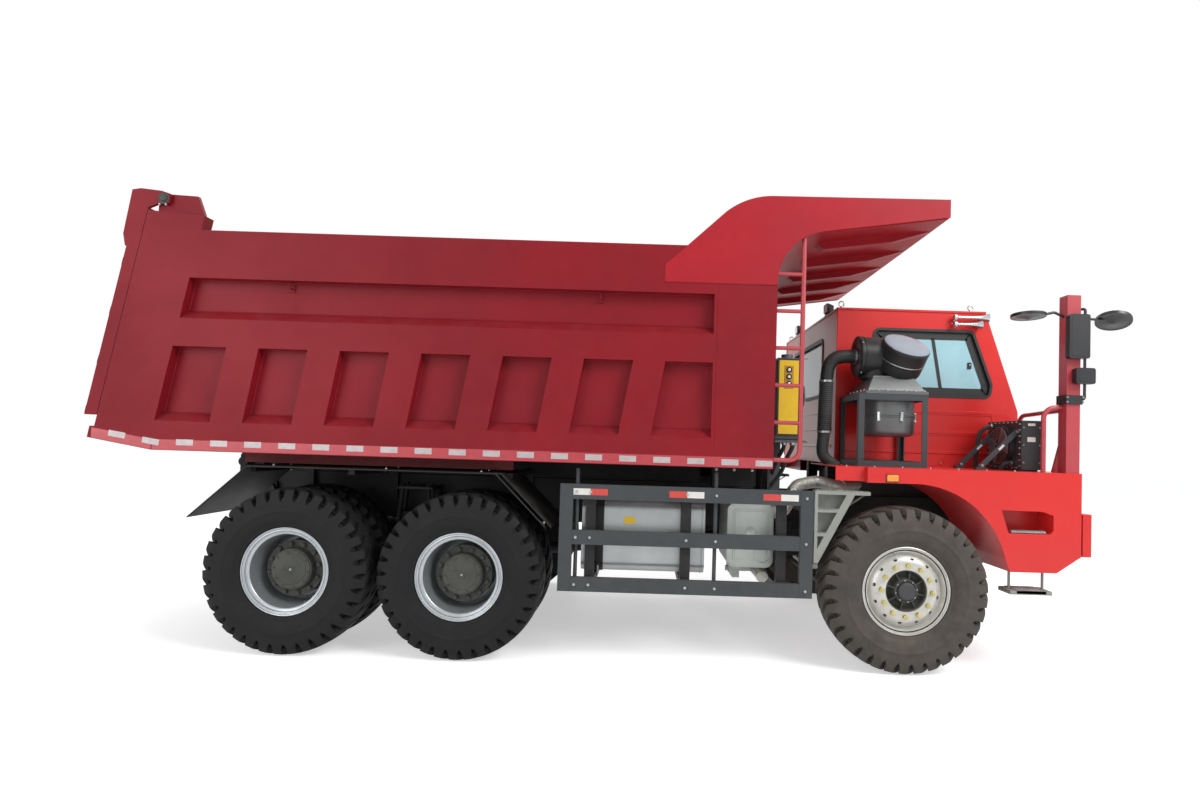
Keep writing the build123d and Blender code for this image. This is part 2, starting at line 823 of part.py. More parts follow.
def make_floor():
    """The floor plate with its turned-down tail, and the cross members under it."""
    top = floor_bottom_z + floor_plate
    plate = side_shape(
        [
            (bed_front_x, floor_bottom_z), (bed_front_x, top), (bed_kink_x, top),
            (bed_tail_x + 16, floor_tail_top_z - 6), (bed_tail_x, bed_bottom_z + bed_tail_rise),
            (bed_tail_x + 20, bed_bottom_z + bed_tail_rise - 3), (bed_tail_x + 40, floor_tail_top_z - 40),
            (bed_kink_x, floor_bottom_z),
        ],
        -bed_inner_y, bed_inner_y,
    )
    plate -= front_wall_shape(floor_bottom_z - 1, top + 1)
    first, last = bed_kink_x + 80, bed_front_x - 60
    for i in range(floor_cross_count):
        x = first + (last - first) * i / (floor_cross_count - 1)
        plate += block(x - floor_cross_width / 2, x + floor_cross_width / 2, -bed_inner_y, bed_inner_y,
                       bed_bottom_z + 5, floor_bottom_z)
    for side in (-1, 1):
        y = sorted([side * (stringer_y - 25), side * (stringer_y + 25)])
        plate += block(*stringer_x, *y, stringer_bottom_z, bed_bottom_z + 5)
    return plate - hoist_recess_shape(0)


def make_beams():
    """Two long beams over the chassis rails, the pivot tube and the cross tubes between them."""
    beams = None
    for side in (-1, 1):
        y = sorted([side * beam_inner_y, side * (beam_inner_y + beam_width)])
        front = bed_front_x - hoist_recess_depth - 60
        beam = block(pivot_x - 120, front, *y, beam_bottom_z, bed_bottom_z + 5)
        beams = beam if beams is None else beams + beam
    beams += rod_y(pivot_x, -620, 620, pivot_z, pivot_radius)
    for i in range(beam_cross_count):
        x = pivot_x + 650 + i * 1000
        beams += rod_y(x, -beam_inner_y, beam_inner_y, 1520, 50)
    return beams


save("bed_sides", make_bed_side(-1), make_bed_side(1))
save("bed_front_wall", make_front_wall())
save("bed_floor", make_floor())
save("bed_beams", make_beams())
save("bed_canopy", canopy)


# ---- tailgate ----

gate_bottom_z = floor_tail_top_z + 85
gate_top_z = 3590
gate_half = bed_outer_y - 5
arm_thickness = 30
gate_rib_count = 5


def gate_face_x(z):
    return post_rear_x(z) - gate_gap


def make_tailgate():
    """A stiffened panel across the bed's rear, hung from two arms outside the post's ears."""
    back = gate_thickness - 25
    panel = side_shape(
        [
            (gate_face_x(gate_bottom_z), gate_bottom_z), (gate_face_x(gate_top_z), gate_top_z),
            (gate_face_x(gate_top_z) - 25, gate_top_z), (gate_face_x(gate_bottom_z) - 25, gate_bottom_z),
        ],
        -gate_half, gate_half,
    )
    gate = panel
    rib_spots = [gate_bottom_z + 45 + i * (gate_top_z - gate_bottom_z - 90) / (gate_rib_count - 1)
                 for i in range(gate_rib_count)]
    for z in rib_spots:
        x = gate_face_x(z) - 25
        gate += side_shape(
            [(x + 9, z + 45), (x - 9, z - 45), (x - 9 - back, z - 30), (x + 3 - back, z + 30)],
            -gate_half, gate_half,
        )
    for side in (-1, 1):
        edge_y = sorted([side * gate_half, side * (gate_half - 60)])
        gate += side_shape(
            [
                (gate_face_x(gate_bottom_z), gate_bottom_z), (gate_face_x(gate_top_z), gate_top_z),
                (gate_face_x(gate_top_z) - gate_thickness, gate_top_z),
                (gate_face_x(gate_bottom_z) - gate_thickness, gate_bottom_z),
            ],
            *edge_y,
        )
        arm_y = sorted([side * gate_half, side * (gate_half - arm_thickness + 1)])
        hood_low = gate_top_z - 250
        hood_rear_x = gate_face_x(hood_low) - gate_thickness - 45
        arm = side_shape(
            [
                (gate_face_x(hood_low), hood_low), (gate_face_x(gate_top_z), gate_top_z),
                (gate_pin_x - 50, gate_pin_z - 45), (gate_pin_x + 45, gate_pin_z - 35),
                (gate_pin_x + 50, gate_pin_z + 40), (gate_pin_x - 20, gate_pin_z + 62),
                (gate_pin_x - 190, gate_pin_z + 78), (gate_pin_x - 260, gate_pin_z + 66),
                (hood_rear_x, hood_low + 30), (hood_rear_x + 20, hood_low - 70),
                (hood_rear_x + 80, hood_low - 85),
            ],
            *arm_y,
        )
        pin_y = sorted([side * gate_half, side * (bed_outer_y - 90)])
        pin = rod_y(gate_pin_x, *pin_y, gate_pin_z, gate_pin_radius)
        gate += arm + pin
    return gate


save("tailgate", make_tailgate())


# ---- hoist: a barrel and its stages, modelled lying along the line from foot to head ----

hoist_vector = Vector(hoist_head_x - hoist_x, 0, hoist_head_z - hoist_foot_z)
hoist_closed = hoist_vector.length
hoist_barrel_top = hoist_closed - 260
hoist_collar = 24
hoist_stage_floor = 80
hoist_stage_rise = 30


def along_hoist(shape):
    """Stand a shape drawn along +Z from the origin on the hoist's foot, leaning towards its head."""
    return Plane(origin=(hoist_x, 0, hoist_foot_z), x_dir=(0, 1, 0), z_dir=hoist_vector) * shape


def stage_tube(radius, low, high):
    tube_ = Pos(0, 0, (low + high) / 2) * Cylinder(radius, high - low)
    return tube_ - Pos(0, 0, (low + high) / 2 + 20) * Cylinder(radius - hoist_wall, high - low)


def make_hoist_barrel():
    barrel = stage_tube(hoist_outer_radius, 70, hoist_barrel_top)
    collar = Pos(0, 0, hoist_barrel_top - 40) * Cylinder(hoist_outer_radius + 12, 80)
    collar -= Pos(0, 0, hoist_barrel_top - 40) * Cylinder(hoist_outer_radius - hoist_wall, 82)
    foot = Pos(0, 0, 45) * Box(2 * hoist_foot_half - 2 * gap, 150, 90)
    trunnion = rod_y(hoist_x, -hoist_foot_half - hoist_foot_lug, hoist_foot_half + hoist_foot_lug,
                     hoist_foot_z, hoist_foot_pin_radius)
    return along_hoist(barrel + collar + foot) + trunnion


def make_hoist_stage(number):
    """Stage 1 is the widest. The last one is solid and carries the eye."""
    radius = hoist_outer_radius - number * hoist_step
    low = hoist_stage_floor + hoist_stage_rise * number
    high = hoist_barrel_top + hoist_collar * number
    if number < hoist_stages:
        return along_hoist(stage_tube(radius, low, high))
    rod = Pos(0, 0, (low + hoist_closed) / 2) * Cylinder(radius, hoist_closed - low)
    eye = rod_y(hoist_head_x, -hoist_eye_half, hoist_eye_half, hoist_head_z, radius + 14)
    return along_hoist(rod) + eye


save("hoist_barrel", make_hoist_barrel())
for number in range(1, hoist_stages + 1):
    save(f"hoist_stage_{number}", make_hoist_stage(number))


# ---- side guards and what stands behind them ----

guard_rear_x = mid_axle_x + 791
guard_front_x = -753
guard_y = 1580
guard_depth = 55
guard_post_width = 105
guard_bar_zs = [(1325, 1446), (960, 1074), (582, 695)]
stay_xs = [guard_rear_x + 134, -1542]
stay_radius = 16
stay_top_z = 1570


def make_side_guard(side):
    y = sorted([side * guard_y, side * (guard_y - guard_depth)])
    low, high = guard_bar_zs[-1][0], guard_bar_zs[0][1]
    guard = block(guard_rear_x, guard_rear_x + guard_post_width, *y, low, high)
    guard += block(guard_front_x - guard_post_width, guard_front_x, *y, low, high)
    for bar_low, bar_high in guard_bar_zs:
        guard += block(guard_rear_x, guard_front_x, *y, bar_low, bar_high)
    for x in stay_xs:
        guard += rod_z(x, side * (guard_y - guard_depth - 8), low + 20, stay_top_z, stay_radius)
    return guard


def side_bracket(x, side):
    """A foot on the rail, an arm outwards under the tanks and a post that the guard is bolted to."""
    half = outrigger_size / 2
    far = guard_y - guard_depth
    low = guard_bar_zs[-1][0] + 20
    foot_y = sorted([side * rail_outer_y, side * (rail_outer_y + 30)])
    arm_y = sorted([side * rail_outer_y, side * far])
    post_y = sorted([side * (far - 50), side * far])
    shape = block(x - half, x + half, *foot_y, low, rail_top_z - 10)
    shape += block(x - half, x + half, *arm_y, low, low + 80)
    return shape + block(x - half, x + half, *post_y, low, guard_bar_zs[0][1] - 20)


tank_x = (guard_rear_x + 169, guard_rear_x + 1194)
tank_y = (-1420, -760)
tank_z = (720, 1325)
tank_corner = 95
muffler_x = (-1425, -1040)
muffler_y = (-1385, -800)
muffler_z = (785, 1315)
exhaust_y = -1220
exhaust_radius = 56
exhaust_low_z = 1465
exhaust_cross_x = -130
exhaust_turn_y = -700
outrigger_xs = [tank_x[0] + 80, tank_x[1] - 165, muffler_x[1] + 40]


def cushion_box(xs, ys, zs, corner):
    """A closed box whose four long edges are rounded, as seen from the side."""
    points = [(xs[0], zs[0]), (xs[1], zs[0]), (xs[1], zs[1]), (xs[0], zs[1])]
    return rounded_side_shape(points, corner, *ys)


def end_rounded_box(xs, ys, zs, corner):
    """A closed box whose four long edges are rounded, as seen from the front."""
    points = [(ys[0], zs[0]), (ys[1], zs[0]), (ys[1], zs[1]), (ys[0], zs[1])]
    outline = FilletPolyline(*points, radius=corner, close=True)
    return Pos(xs[0], 0, 0) * extrude(Plane.YZ * make_face(outline), amount=xs[1] - xs[0])


def make_tank():
    tank = end_rounded_box(tank_x, tank_y, tank_z, tank_corner)
    neck = rod_z(tank_x[0] + 150, tank_y[0] + 160, tank_z[1], tank_z[1] + 55, 45)
    return tank + neck


def make_muffler():
    box = cushion_box(muffler_x, muffler_y, muffler_z, 60)
    outlet = rod_y(muffler_x[1] - 90, muffler_y[0] - 18, muffler_y[0], muffler_z[0] + 105, 72)
    outlet -= rod_y(muffler_x[1] - 90, muffler_y[0] - 40, muffler_y[0] + 200, muffler_z[0] + 105, 62)
    legs = [
        block(x - 30, x + 30, muffler_y[0] + 80, muffler_y[1] - 80, guard_bar_zs[-1][0] + 100, muffler_z[0])
        for x in (muffler_x[0] + 90, muffler_x[1] - 90)
    ]
    rail = block(muffler_x[0] + 40, muffler_x[1] - 40, -1000, -960, guard_bar_zs[-1][0] + 100,
                 guard_bar_zs[-1][0] + 140)
    return box + outlet + legs[0] + legs[1] + rail


def make_exhaust():
    """From the muffler's front side, up and forward under the deck, then inwards to the engine's side."""
    x = muffler_x[1]
    z = muffler_z[1] - 80
    points = [
        (x, exhaust_y, z), (x + 110, exhaust_y, z), (x + 205, exhaust_y, z + 211),
        (x + 360, exhaust_y, z + 272), (x + 570, exhaust_y, z + 235),
        (exhaust_cross_x, exhaust_turn_y, exhaust_low_z),
        (exhaust_cross_x, -engine_half_width, exhaust_low_z),
    ]
    return tube(points, exhaust_radius, 70)


save("side_guards", make_side_guard(-1), make_side_guard(1))
save("fuel_tank", make_tank())
save("muffler", make_muffler())
save("exhaust_pipe", make_exhaust())


# ---- cab ----

def cab_profile(inset):
    return [
        (cab_rear_x + inset, deck_z + inset), (cab_rear_x + inset, cab_roof_z - inset),
        (cab_roof_front_x - 0.7 * inset, cab_roof_z - inset), (cab_belt_x - 1.1 * inset, cab_belt_z),
        (cab_nose_x - inset, deck_z + inset),
    ]


def pillar_x(z):
    """The windscreen's outer face at height z."""
    return cab_belt_x - (z - cab_belt_z) * (cab_belt_x - cab_roof_front_x) / (cab_roof_z - cab_belt_z)


side_window = [(0, 2940), (930, 2940), (1112, 2440), (1095, 2321), (0, 2321)]
side_window_corner = 55
screen_y = (cab_right_y + 90, cab_left_y - 90)
screen_z = (2290, 3040)
rear_window_y = (-180, 1100)
rear_window_z = (2330, 2900)
door_corner = 60
door_window_front_x = 830


def door_outline(grow):
    """The door, or with a positive grow the opening for it."""
    return [
        (door_rear_x - grow, door_sill_z - grow), (door_front_x + grow, door_sill_z - grow),
        (door_front_x + grow, cab_belt_z), (door_front_x + grow - (door_top_z - cab_belt_z) * 0.3376,
                                            door_top_z + grow),
        (door_rear_x - grow, door_top_z + grow),
    ]


hinge_zs = [1850, 2150]
hinge_radius = 11
hinge_out = 14
hinge_plate_x = door_front_x + hinge_out + hinge_radius + 2


def make_cab_shell():
    shell = side_shape(cab_profile(0), cab_right_y, cab_left_y)
    shell -= side_shape(cab_profile(cab_wall), cab_right_y + cab_wall, cab_left_y - cab_wall)
    shell -= rounded_side_shape(side_window, side_window_corner, cab_right_y - 1, cab_right_y + cab_wall + 1)
    doorway_y = (cab_left_y - cab_wall - 1, cab_left_y + 1)
    shell -= rounded_side_shape(door_outline(door_gap), door_corner, *doorway_y)
    shell -= block(pillar_x(screen_z[1]) - cab_wall * 1.1, cab_belt_x + 20, *screen_y, *screen_z)
    shell -= block(cab_rear_x - 1, cab_rear_x + cab_wall + 1, *rear_window_y, *rear_window_z)
    for z in hinge_zs:
        shell += block(hinge_plate_x, hinge_plate_x + 40, cab_left_y, cab_left_y + 8, z - 40, z + 40)
    return shell


def make_cab_glass():
    """Panes in the windscreen, the right-hand window and the rear window."""
    inset = cab_wall / 2
    side_pane = rounded_side_shape(
        side_window, side_window_corner, cab_right_y + inset - glass_thickness / 2,
        cab_right_y + inset + glass_thickness / 2,
    )
    low, high = screen_z
    screen = side_shape(
        [
            (pillar_x(low) - inset, low), (pillar_x(high) - inset, high),
            (pillar_x(high) - inset - glass_thickness, high), (pillar_x(low) - inset - glass_thickness, low),
        ],
        *screen_y,
    )
    rear_x = (cab_rear_x + inset, cab_rear_x + inset + glass_thickness)
    rear_pane = block(*rear_x, *rear_window_y, *rear_window_z)
    return [side_pane, screen, rear_pane]


def door_window():
    top = door_top_z - 75
    low = 2330
    front_top = door_front_x - (top - cab_belt_z) * 0.3376 - 75
    front_low = door_front_x - (low - cab_belt_z) * 0.3376 - 75
    return [(door_rear_x + 75, low), (front_low, low), (front_top, top), (door_rear_x + 75, top)]


def make_door():
    door = rounded_side_shape(door_outline(0), door_corner, cab_left_y - cab_wall, cab_left_y)
    door -= rounded_side_shape(door_window(), 45, cab_left_y - cab_wall - 1, cab_left_y + 1)
    handle = block(door_rear_x + 50, door_rear_x + 170, cab_left_y, cab_left_y + 28, 2180, 2210)
    for z in hinge_zs:
        door += rod_z(door_front_x + hinge_out, cab_left_y + hinge_radius + 1, z - 35, z + 35, hinge_radius)
        door += block(door_front_x - 60, door_front_x + hinge_out, cab_left_y, cab_left_y + 8, z - 35, z + 35)
    return door + handle


def make_door_pane():
    middle = cab_left_y - cab_wall / 2
    return rounded_side_shape(door_window(), 45, middle - glass_thickness / 2, middle + glass_thickness / 2)


seat_width = 480
seat_ys = [-80, 980]
seat_x = 260
seat_top_z = 2160


def make_seat(y):
    """A cushion, a back and a headrest on a pedestal."""
    half = seat_width / 2
    floor = deck_z + cab_wall
    seat = block(seat_x + 60, seat_x + 380, y - 150, y + 150, floor, seat_top_z - 150)
    seat += rounded_side_shape(
        [
            (seat_x, seat_top_z - 150), (seat_x + 500, seat_top_z - 150), (seat_x + 500, seat_top_z),
            (seat_x, seat_top_z),
        ],
        50, y - half, y + half,
    )
    seat += rounded_side_shape(
        [
            (seat_x - 130, seat_top_z + 590), (seat_x - 20, seat_top_z - 120),
            (seat_x + 110, seat_top_z - 120),
            (seat_x - 20, seat_top_z + 590),
        ],
        40, y - half + 10, y + half - 10,
    )
    return seat + rounded_side_shape(
        [
            (seat_x - 165, seat_top_z + 740), (seat_x - 130, seat_top_z + 570),
            (seat_x - 30, seat_top_z + 570),
            (seat_x - 60, seat_top_z + 740),
        ],
        30, y - 140, y + 140,
    )


dash_front_x = 1305
dash_rear_x = 980
dash_top_z = 2230
wheel_centre = (830, 2330)
wheel_radius = 225


def make_dashboard():
    """Dashboard across the cab, with the steering column and its wheel in front of the left-hand seat."""
    floor = deck_z + cab_wall
    dash = side_shape(
        [
            (dash_rear_x + 140, floor), (dash_front_x, floor), (dash_front_x, dash_top_z - 60),
            (dash_front_x - 40, dash_top_z), (dash_rear_x + 50, dash_top_z), (dash_rear_x, dash_top_z - 90),
            (dash_rear_x + 40, dash_top_z - 240),
        ],
        cab_right_y + cab_wall + 20, cab_left_y - cab_wall - 20,
    )
    tilt = Vector(-0.5, 0, 0.866)
    centre = Vector(wheel_centre[0], seat_ys[1], wheel_centre[1])
    ring = Plane(origin=centre, z_dir=tilt) * Torus(wheel_radius, 16)
    spoke = Plane(origin=centre, z_dir=tilt) * Box(40, 2 * wheel_radius, 14)
    column = Plane(origin=centre - tilt * 160, z_dir=tilt) * Cylinder(38, 330)
    foot = bar(
        (centre.X + 85, centre.Y, centre.Z - 300), (dash_rear_x + 90, centre.Y, dash_top_z - 200),
        80, 90, (0, 1, 0),
    )
    return dash + ring + spoke + column + foot


save("cab_shell", make_cab_shell())
save("cab_glass", *make_cab_glass())
save("cab_door", make_door())
save("door_glass", make_door_pane())
save("cab_seats", *[make_seat(y) for y in seat_ys])
save("dashboard", make_dashboard())


# ---- front fenders, deck, bumper and grille ----

fender_bottom_z = 850
fender_chamfer = (1203, 985)
arch_start_x = 100
arch_end = (790, 960)
arch_crown = (564, 1338)
step_pocket = [(755, 1344), (1090, 1340), (1175, 1309), (1175, 1188), (1150, 1160), (813, 1160)]
step_pocket_depth = 230
rear_flap_x = -572


def fender_edges(inset):
    """The fender's side view: deck, front face, chamfered bottom, and the wheel arch."""
    top = deck_z - inset
    front = fender_front_x - inset
    rear = -330 + inset
    low = fender_bottom_z + inset
    shift = 0.7 * inset
    corner_x, corner_z = fender_chamfer
    arch_low = (829 + inset, low)
    arch_side = (arch_end[0] + inset, arch_end[1])
    arch_top = (arch_start_x, arch_top_z + inset)
    crown = (arch_crown[0] + shift, arch_crown[1] + shift)
    edges = [
        Line((rear, top), (front, top)),
        Line((front, top), (front, corner_z + 0.4 * inset)),
        Line((front, corner_z + 0.4 * inset), (corner_x - 0.3 * inset, low)),
        Line((corner_x - 0.3 * inset, low), arch_low),
        Line(arch_low, arch_side),
        ThreePointArc(arch_side, crown, arch_top),
        Line(arch_top, (rear, arch_top_z + inset)),
        Line((rear, arch_top_z + inset), (rear, top)),
    ]
    return make_face(edges)


def make_fender(side):
    """Side plate, deck, front face, bottom and arch liner as one folded shell, open towards the middle."""
    depth = fender_y - fender_inner_y
    outer = extrude(Plane.XZ * fender_edges(0), amount=depth)
    hollow = extrude(Plane.XZ * fender_edges(deck_plate), amount=depth)
    if side < 0:
        shell = Pos(0, -fender_inner_y, 0) * outer - Pos(0, -fender_inner_y + deck_plate, 0) * hollow
    else:
        shell = Pos(0, fender_y, 0) * outer - Pos(0, fender_y - deck_plate, 0) * hollow
    pocket_y = sorted([side * (fender_y + 1), side * (fender_y - step_pocket_depth)])
    tray_y = sorted([side * (fender_y - 1), side * (fender_y - step_pocket_depth - deck_plate)])
    tray = side_shape(grown_pocket(deck_plate), *tray_y)
    shell = shell + tray - side_shape(step_pocket, *pocket_y)
    deck_y = sorted([side * (fender_inner_y + 1), side * abs(cab_right_y)])
    shell += block(rear_flap_x, fender_front_x, *deck_y, deck_z - deck_plate, deck_z)
    flap_y = sorted([side * (fender_y - 60), side * abs(cab_right_y)])
    shell += block(rear_flap_x, -325, *flap_y, deck_z - deck_plate, deck_z)
    edge_y = sorted([side * (fender_y - 60), side * (fender_y - 60 - deck_plate)])
    shell += block(rear_flap_x, -325, *edge_y, arch_top_z + 8, deck_z)
    return shell


def grown_pocket(wall):
    return [
        (step_pocket[0][0] - wall, step_pocket[0][1] + wall), (step_pocket[1][0], step_pocket[1][1] + wall),
        (step_pocket[2][0] + wall, step_pocket[2][1]), (step_pocket[3][0] + wall, step_pocket[3][1]),
        (step_pocket[4][0], step_pocket[4][1] - wall), (step_pocket[5][0] - wall, step_pocket[5][1] - wall),
    ]


bumper_x = (1417, 1487)
bumper_z = (985, 1328)
bumper_half = 1590
bumper_wall = 10
grille_half = 770
grille_z = (1345, 1640)
grille_slats = 6


def make_bumper():
    """A deep channel, open to the rear, with two tow eyes and the arms that hold it to the frame."""
    bumper = block(*bumper_x, -bumper_half, bumper_half, *bumper_z)
    bumper -= block(
        bumper_x[0] - 1, bumper_x[1] - bumper_wall, -bumper_half + bumper_wall, bumper_half - bumper_wall,
        bumper_z[0] + bumper_wall, bumper_z[1] - bumper_wall,
    )
    for side in (-1, 1):
        y = sorted([side * 460, side * 560])
        bumper += block(rail_front_x + 40, bumper_x[1] - 5, *y, 1040, 1270)
        eye_y = sorted([side * 495, side * 525])
        eye = block(bumper_x[1] - 2, bumper_x[1] + 60, *eye_y, 1090, 1210) + rod_y(
            bumper_x[1] + 60, *eye_y, 1150, 60
        )
        bumper += eye - rod_y(bumper_x[1] + 60, -2000, 2000, 1150, tow_pin_radius)
    return bumper


tow_pin_radius = 25


def make_grille():
    low, high = grille_z
    frame = block(fender_front_x - 20, fender_front_x, -grille_half, grille_half, low, high)
    hole = grille_half - 50
    opening = block(fender_front_x - 21, fender_front_x + 1, -hole, hole, low + 40, high - 40)
    frame -= opening
    pitch = (high - low - 80) / grille_slats
    for i in range(grille_slats - 1):
        z = low + 40 + (i + 1) * pitch
        frame += block(fender_front_x - 20, fender_front_x - 4, -hole - 1, hole + 1, z - 8, z + 8)
    foot = block(fender_front_x - 20, fender_front_x - 8, -grille_half, grille_half, rail_top_z - 15, low + 1)
    return frame + foot


save("front_fenders", make_fender(-1), make_fender(1))
save("front_bumper", make_bumper())
save("front_grille", make_grille())


# ---- steps and ladder ----

hanger_xs = [873, 1146]
hanger_y = 1500
hanger_step_z = (669, 700)
hanger_step_y = (1400, 1590)
stair_y = (1500, 1590)
stair_rear_x = guard_front_x + 5
stair_treads = [(stair_rear_x, -500, 1303), (stair_rear_x, -600, 1110)]
tread_thickness = 22


def make_front_step(side):
    y = sorted([side * hanger_step_y[0], side * hanger_step_y[1]])
    step = block(hanger_xs[0] - 34, hanger_xs[1] + 31, *y, *hanger_step_z)
    for x in hanger_xs:
        step += rod_z(x, side * hanger_y, hanger_step_z[1] - 5, fender_bottom_z, 11)
    return step


def make_stair(side):
    """Two treads and a top platform between two slanted side plates, hung from an arm on the frame."""
    near = sorted([side * stair_y[1], side * (stair_y[1] - 12)])
    far = sorted([side * stair_y[0], side * (stair_y[0] + 12)])
    full = sorted([side * stair_y[0], side * stair_y[1]])
    stair = None
    for y in (near, far):
        outline = [(-412, 1453), (-715, 870), (stair_rear_x, 870), (stair_rear_x, 935), (-478, 1453)]
        plate = side_shape(outline, *y)
        plate += side_shape([(stair_rear_x, 1453), (stair_rear_x, 1425), (-300, 1425), (-300, 1453)], *y)
        plate += block(stair_rear_x, stair_rear_x + 25, *y, 870, 1440)
        stair = plate if stair is None else stair + plate
    for x0, x1, z in stair_treads:
        stair += block(x0, x1, *full, z - tread_thickness, z)
    stair += block(stair_rear_x, -300, *full, 1440, 1453)
    arm_y = sorted([side * (stair_y[0] + 1), side * rail_outer_y])
    return stair + block(stair_rear_x, stair_rear_x + 25, *arm_y, 1235, 1295)


ladder_out = 220
ladder_tube = 19
ladder_rung_zs = [1995, 2300, 2605, 2910, 3215]
ladder_bottom_z = 1690
ladder_top_z = 3512


def make_ladder():
    """A rail that stands off the bed's front corner up to the canopy, with rungs running back to the wall."""
    x = bed_front_x + ladder_out
    y = -(bed_outer_y - 45)
    rail_points = [(x, y, ladder_top_z), (x, y, ladder_bottom_z), (bed_front_x, y, ladder_bottom_z)]
    ladder = tube(rail_points, ladder_tube, 90)
    for z in ladder_rung_zs:
        ladder += rod_x(bed_front_x, x, y, z, ladder_tube - 3)
    return ladder - canopy


save("boarding_steps", *[make(side) for side in (-1, 1) for make in (make_front_step, make_stair)])
save("bed_ladder", make_ladder())


# ---- air filter on the right-hand deck ----

stand_x = (-322, 269)
stand_y = (-1310, -745)
stand_iron = 8
stand_leg = 50
filter_centre = (11, -1028)
filter_radius = 242
filter_z = (1918, 2276)
filter_corner = 45
hopper_top_z = 2445
drum_x = (-262, 40)
drum_centre = (-1000, 2630)
filter_drum_radius = 185
bowl_centre = (109, -1105, 2611)
bowl_axis = (0.14, -0.57, 0.81)
filter_bowl_radius = 205
filter_bowl_height = 275
intake_radius = 60


def make_filter():
    """Round housing, hopper, the horizontal drum on top and the pre-cleaner bowl leaning out over it."""
    left, right = filter_centre[0] - filter_radius, filter_centre[0] + filter_radius
    body = rod_z(*filter_centre, *filter_z, filter_radius)
    body = fillet(body.edges().sort_by(Axis.Z)[0], filter_corner)
    flange = block(left - 32, right + 18, stand_y[0] - 2, stand_y[1] + 2, filter_z[1], filter_z[1] + 30)
    hopper = side_shape(
        [
            (left - 32, filter_z[1] + 30), (right + 18, filter_z[1] + 30),
            (right - 60, hopper_top_z), (left + 60, hopper_top_z),
        ],
        stand_y[0] + 60, stand_y[1] - 60,
    )
    head = rod_x(*drum_x, drum_centre[0], drum_centre[1], filter_drum_radius)
    bowl_plane = Plane(origin=bowl_centre, z_dir=bowl_axis)
    head += bowl_plane * (Pos(0, 0, -190) * Cylinder(120, 220))
    head += bowl_plane * Cylinder(filter_bowl_radius, filter_bowl_height)
    head += rod_z((drum_x[0] + drum_x[1]) / 2 + 20, drum_centre[0], hopper_top_z - 20, drum_centre[1], 130)
    return body + flange + hopper + head


def make_stand():
    """Four angle-iron legs joined by flat rails top and bottom; the housing hangs inside from its flange."""
    low, high = deck_z, filter_z[1]
    stand = block(*stand_x, *stand_y, low, high)
    stand -= block(
        stand_x[0] + stand_iron, stand_x[1] - stand_iron, stand_y[0] + stand_iron, stand_y[1] - stand_iron,
        low - 1, high + 1,
    )
    window_z = (low + stand_leg, high - stand_leg)
    stand -= block(stand_x[0] + stand_leg, stand_x[1] - stand_leg, stand_y[0] - 1, stand_y[1] + 1, *window_z)
    return stand - block(
        stand_x[0] - 1, stand_x[1] + 1, stand_y[0] + stand_leg, stand_y[1] - stand_leg, *window_z
    )


def make_intake():
    """From the drum's end, over and down behind the cab to a boot on the deck."""
    y, z = drum_centre
    points = [
        (drum_x[0], y, z), (-510, y, z), (-522, y, 2400), (-532, y, 1950), (-542, y, 1765),
        (-455, y, 1705), (-455, y, deck_z),
    ]
    boot = rod_z(-455, y, deck_z, deck_z + 18, intake_radius + 14)
    return tube(points, intake_radius, 62) + boot


save("air_filter", make_filter())
save("filter_stand", make_stand())
save("intake_pipe", make_intake())


# ---- cooler, handrails and mirrors ----

cooler_x = (1045, 1217)
cooler_y = (-1350, -790)
cooler_z = (deck_z + 12, 2085)
brace_width = 40
brace_thickness = 8
deck_post_x = (1275, 1385)
deck_post_y = (-1590, -1480)
deck_post_top_z = 3110
rail_tube = 19


def make_cooler():
    """A flat cooler on edge, with two braces sloping back to the deck."""
    cooler = block(*cooler_x, *cooler_y, *cooler_z)
    foot = (cooler_x[0] + 10, cooler_x[1] - 10, cooler_y[0] + 40, cooler_y[1] - 40)
    cooler += block(*foot, deck_z, cooler_z[0])
    shroud = rod_x(cooler_x[0] - 30, cooler_x[0], (cooler_y[0] + cooler_y[1]) / 2, 1870, 170)
    for y in (cooler_y[0] + 60, cooler_y[1] - 120):
        cooler += bar((cooler_x[0] + 5, y, 2000), (cooler_x[0] - 320, y, deck_z + 20),
                      brace_width, brace_thickness,
                      (0, 1, 0))
        cooler += block(cooler_x[0] - 360, cooler_x[0] - 280, y - 25, y + 25, deck_z, deck_z + 22)
    return cooler + shroud


def make_handrails():
    """The square mirror post with its brace, and two tube rails bent into it."""
    post = block(*deck_post_x, *deck_post_y, deck_z, deck_post_top_z)
    middle_x = (deck_post_x[0] + deck_post_x[1]) / 2
    middle_y = (deck_post_y[0] + deck_post_y[1]) / 2
    brace = bar((middle_x, deck_post_y[1] - 4, 1995), (middle_x, deck_post_y[1] + 140, deck_z - 4),
                50, 12, (0, 1, 0.4))
    post += brace - block(middle_x - 60, middle_x + 60, *deck_post_y, deck_z, deck_post_top_z)
    post -= block(middle_x - 60, middle_x + 60, deck_post_y[1], deck_post_y[1] + 200, deck_z - 30, deck_z)
    side_rail = tube(
        [(1122, middle_y, deck_z), (1122, middle_y, 2185), (deck_post_x[0] + 5, middle_y, 2192)],
        rail_tube, 95,
    )
    front_rail = tube(
        [
            (middle_x, -790, deck_z), (middle_x, -790, 2150), (middle_x, deck_post_y[1] - 5, 2175)
        ],
        rail_tube, 95,
    )
    return post + side_rail + front_rail


mirror_arm = 11
mirror_y = 1535
mirror_disc_radius = 130
mirror_disc_depth = 26
right_head_y = (-1652, -1596)
right_arm_x = 1412
right_arm_y = -1602


def mirror_disc(centre, direction):
    return Plane(origin=centre, z_dir=direction) * Cylinder(mirror_disc_radius, mirror_disc_depth)


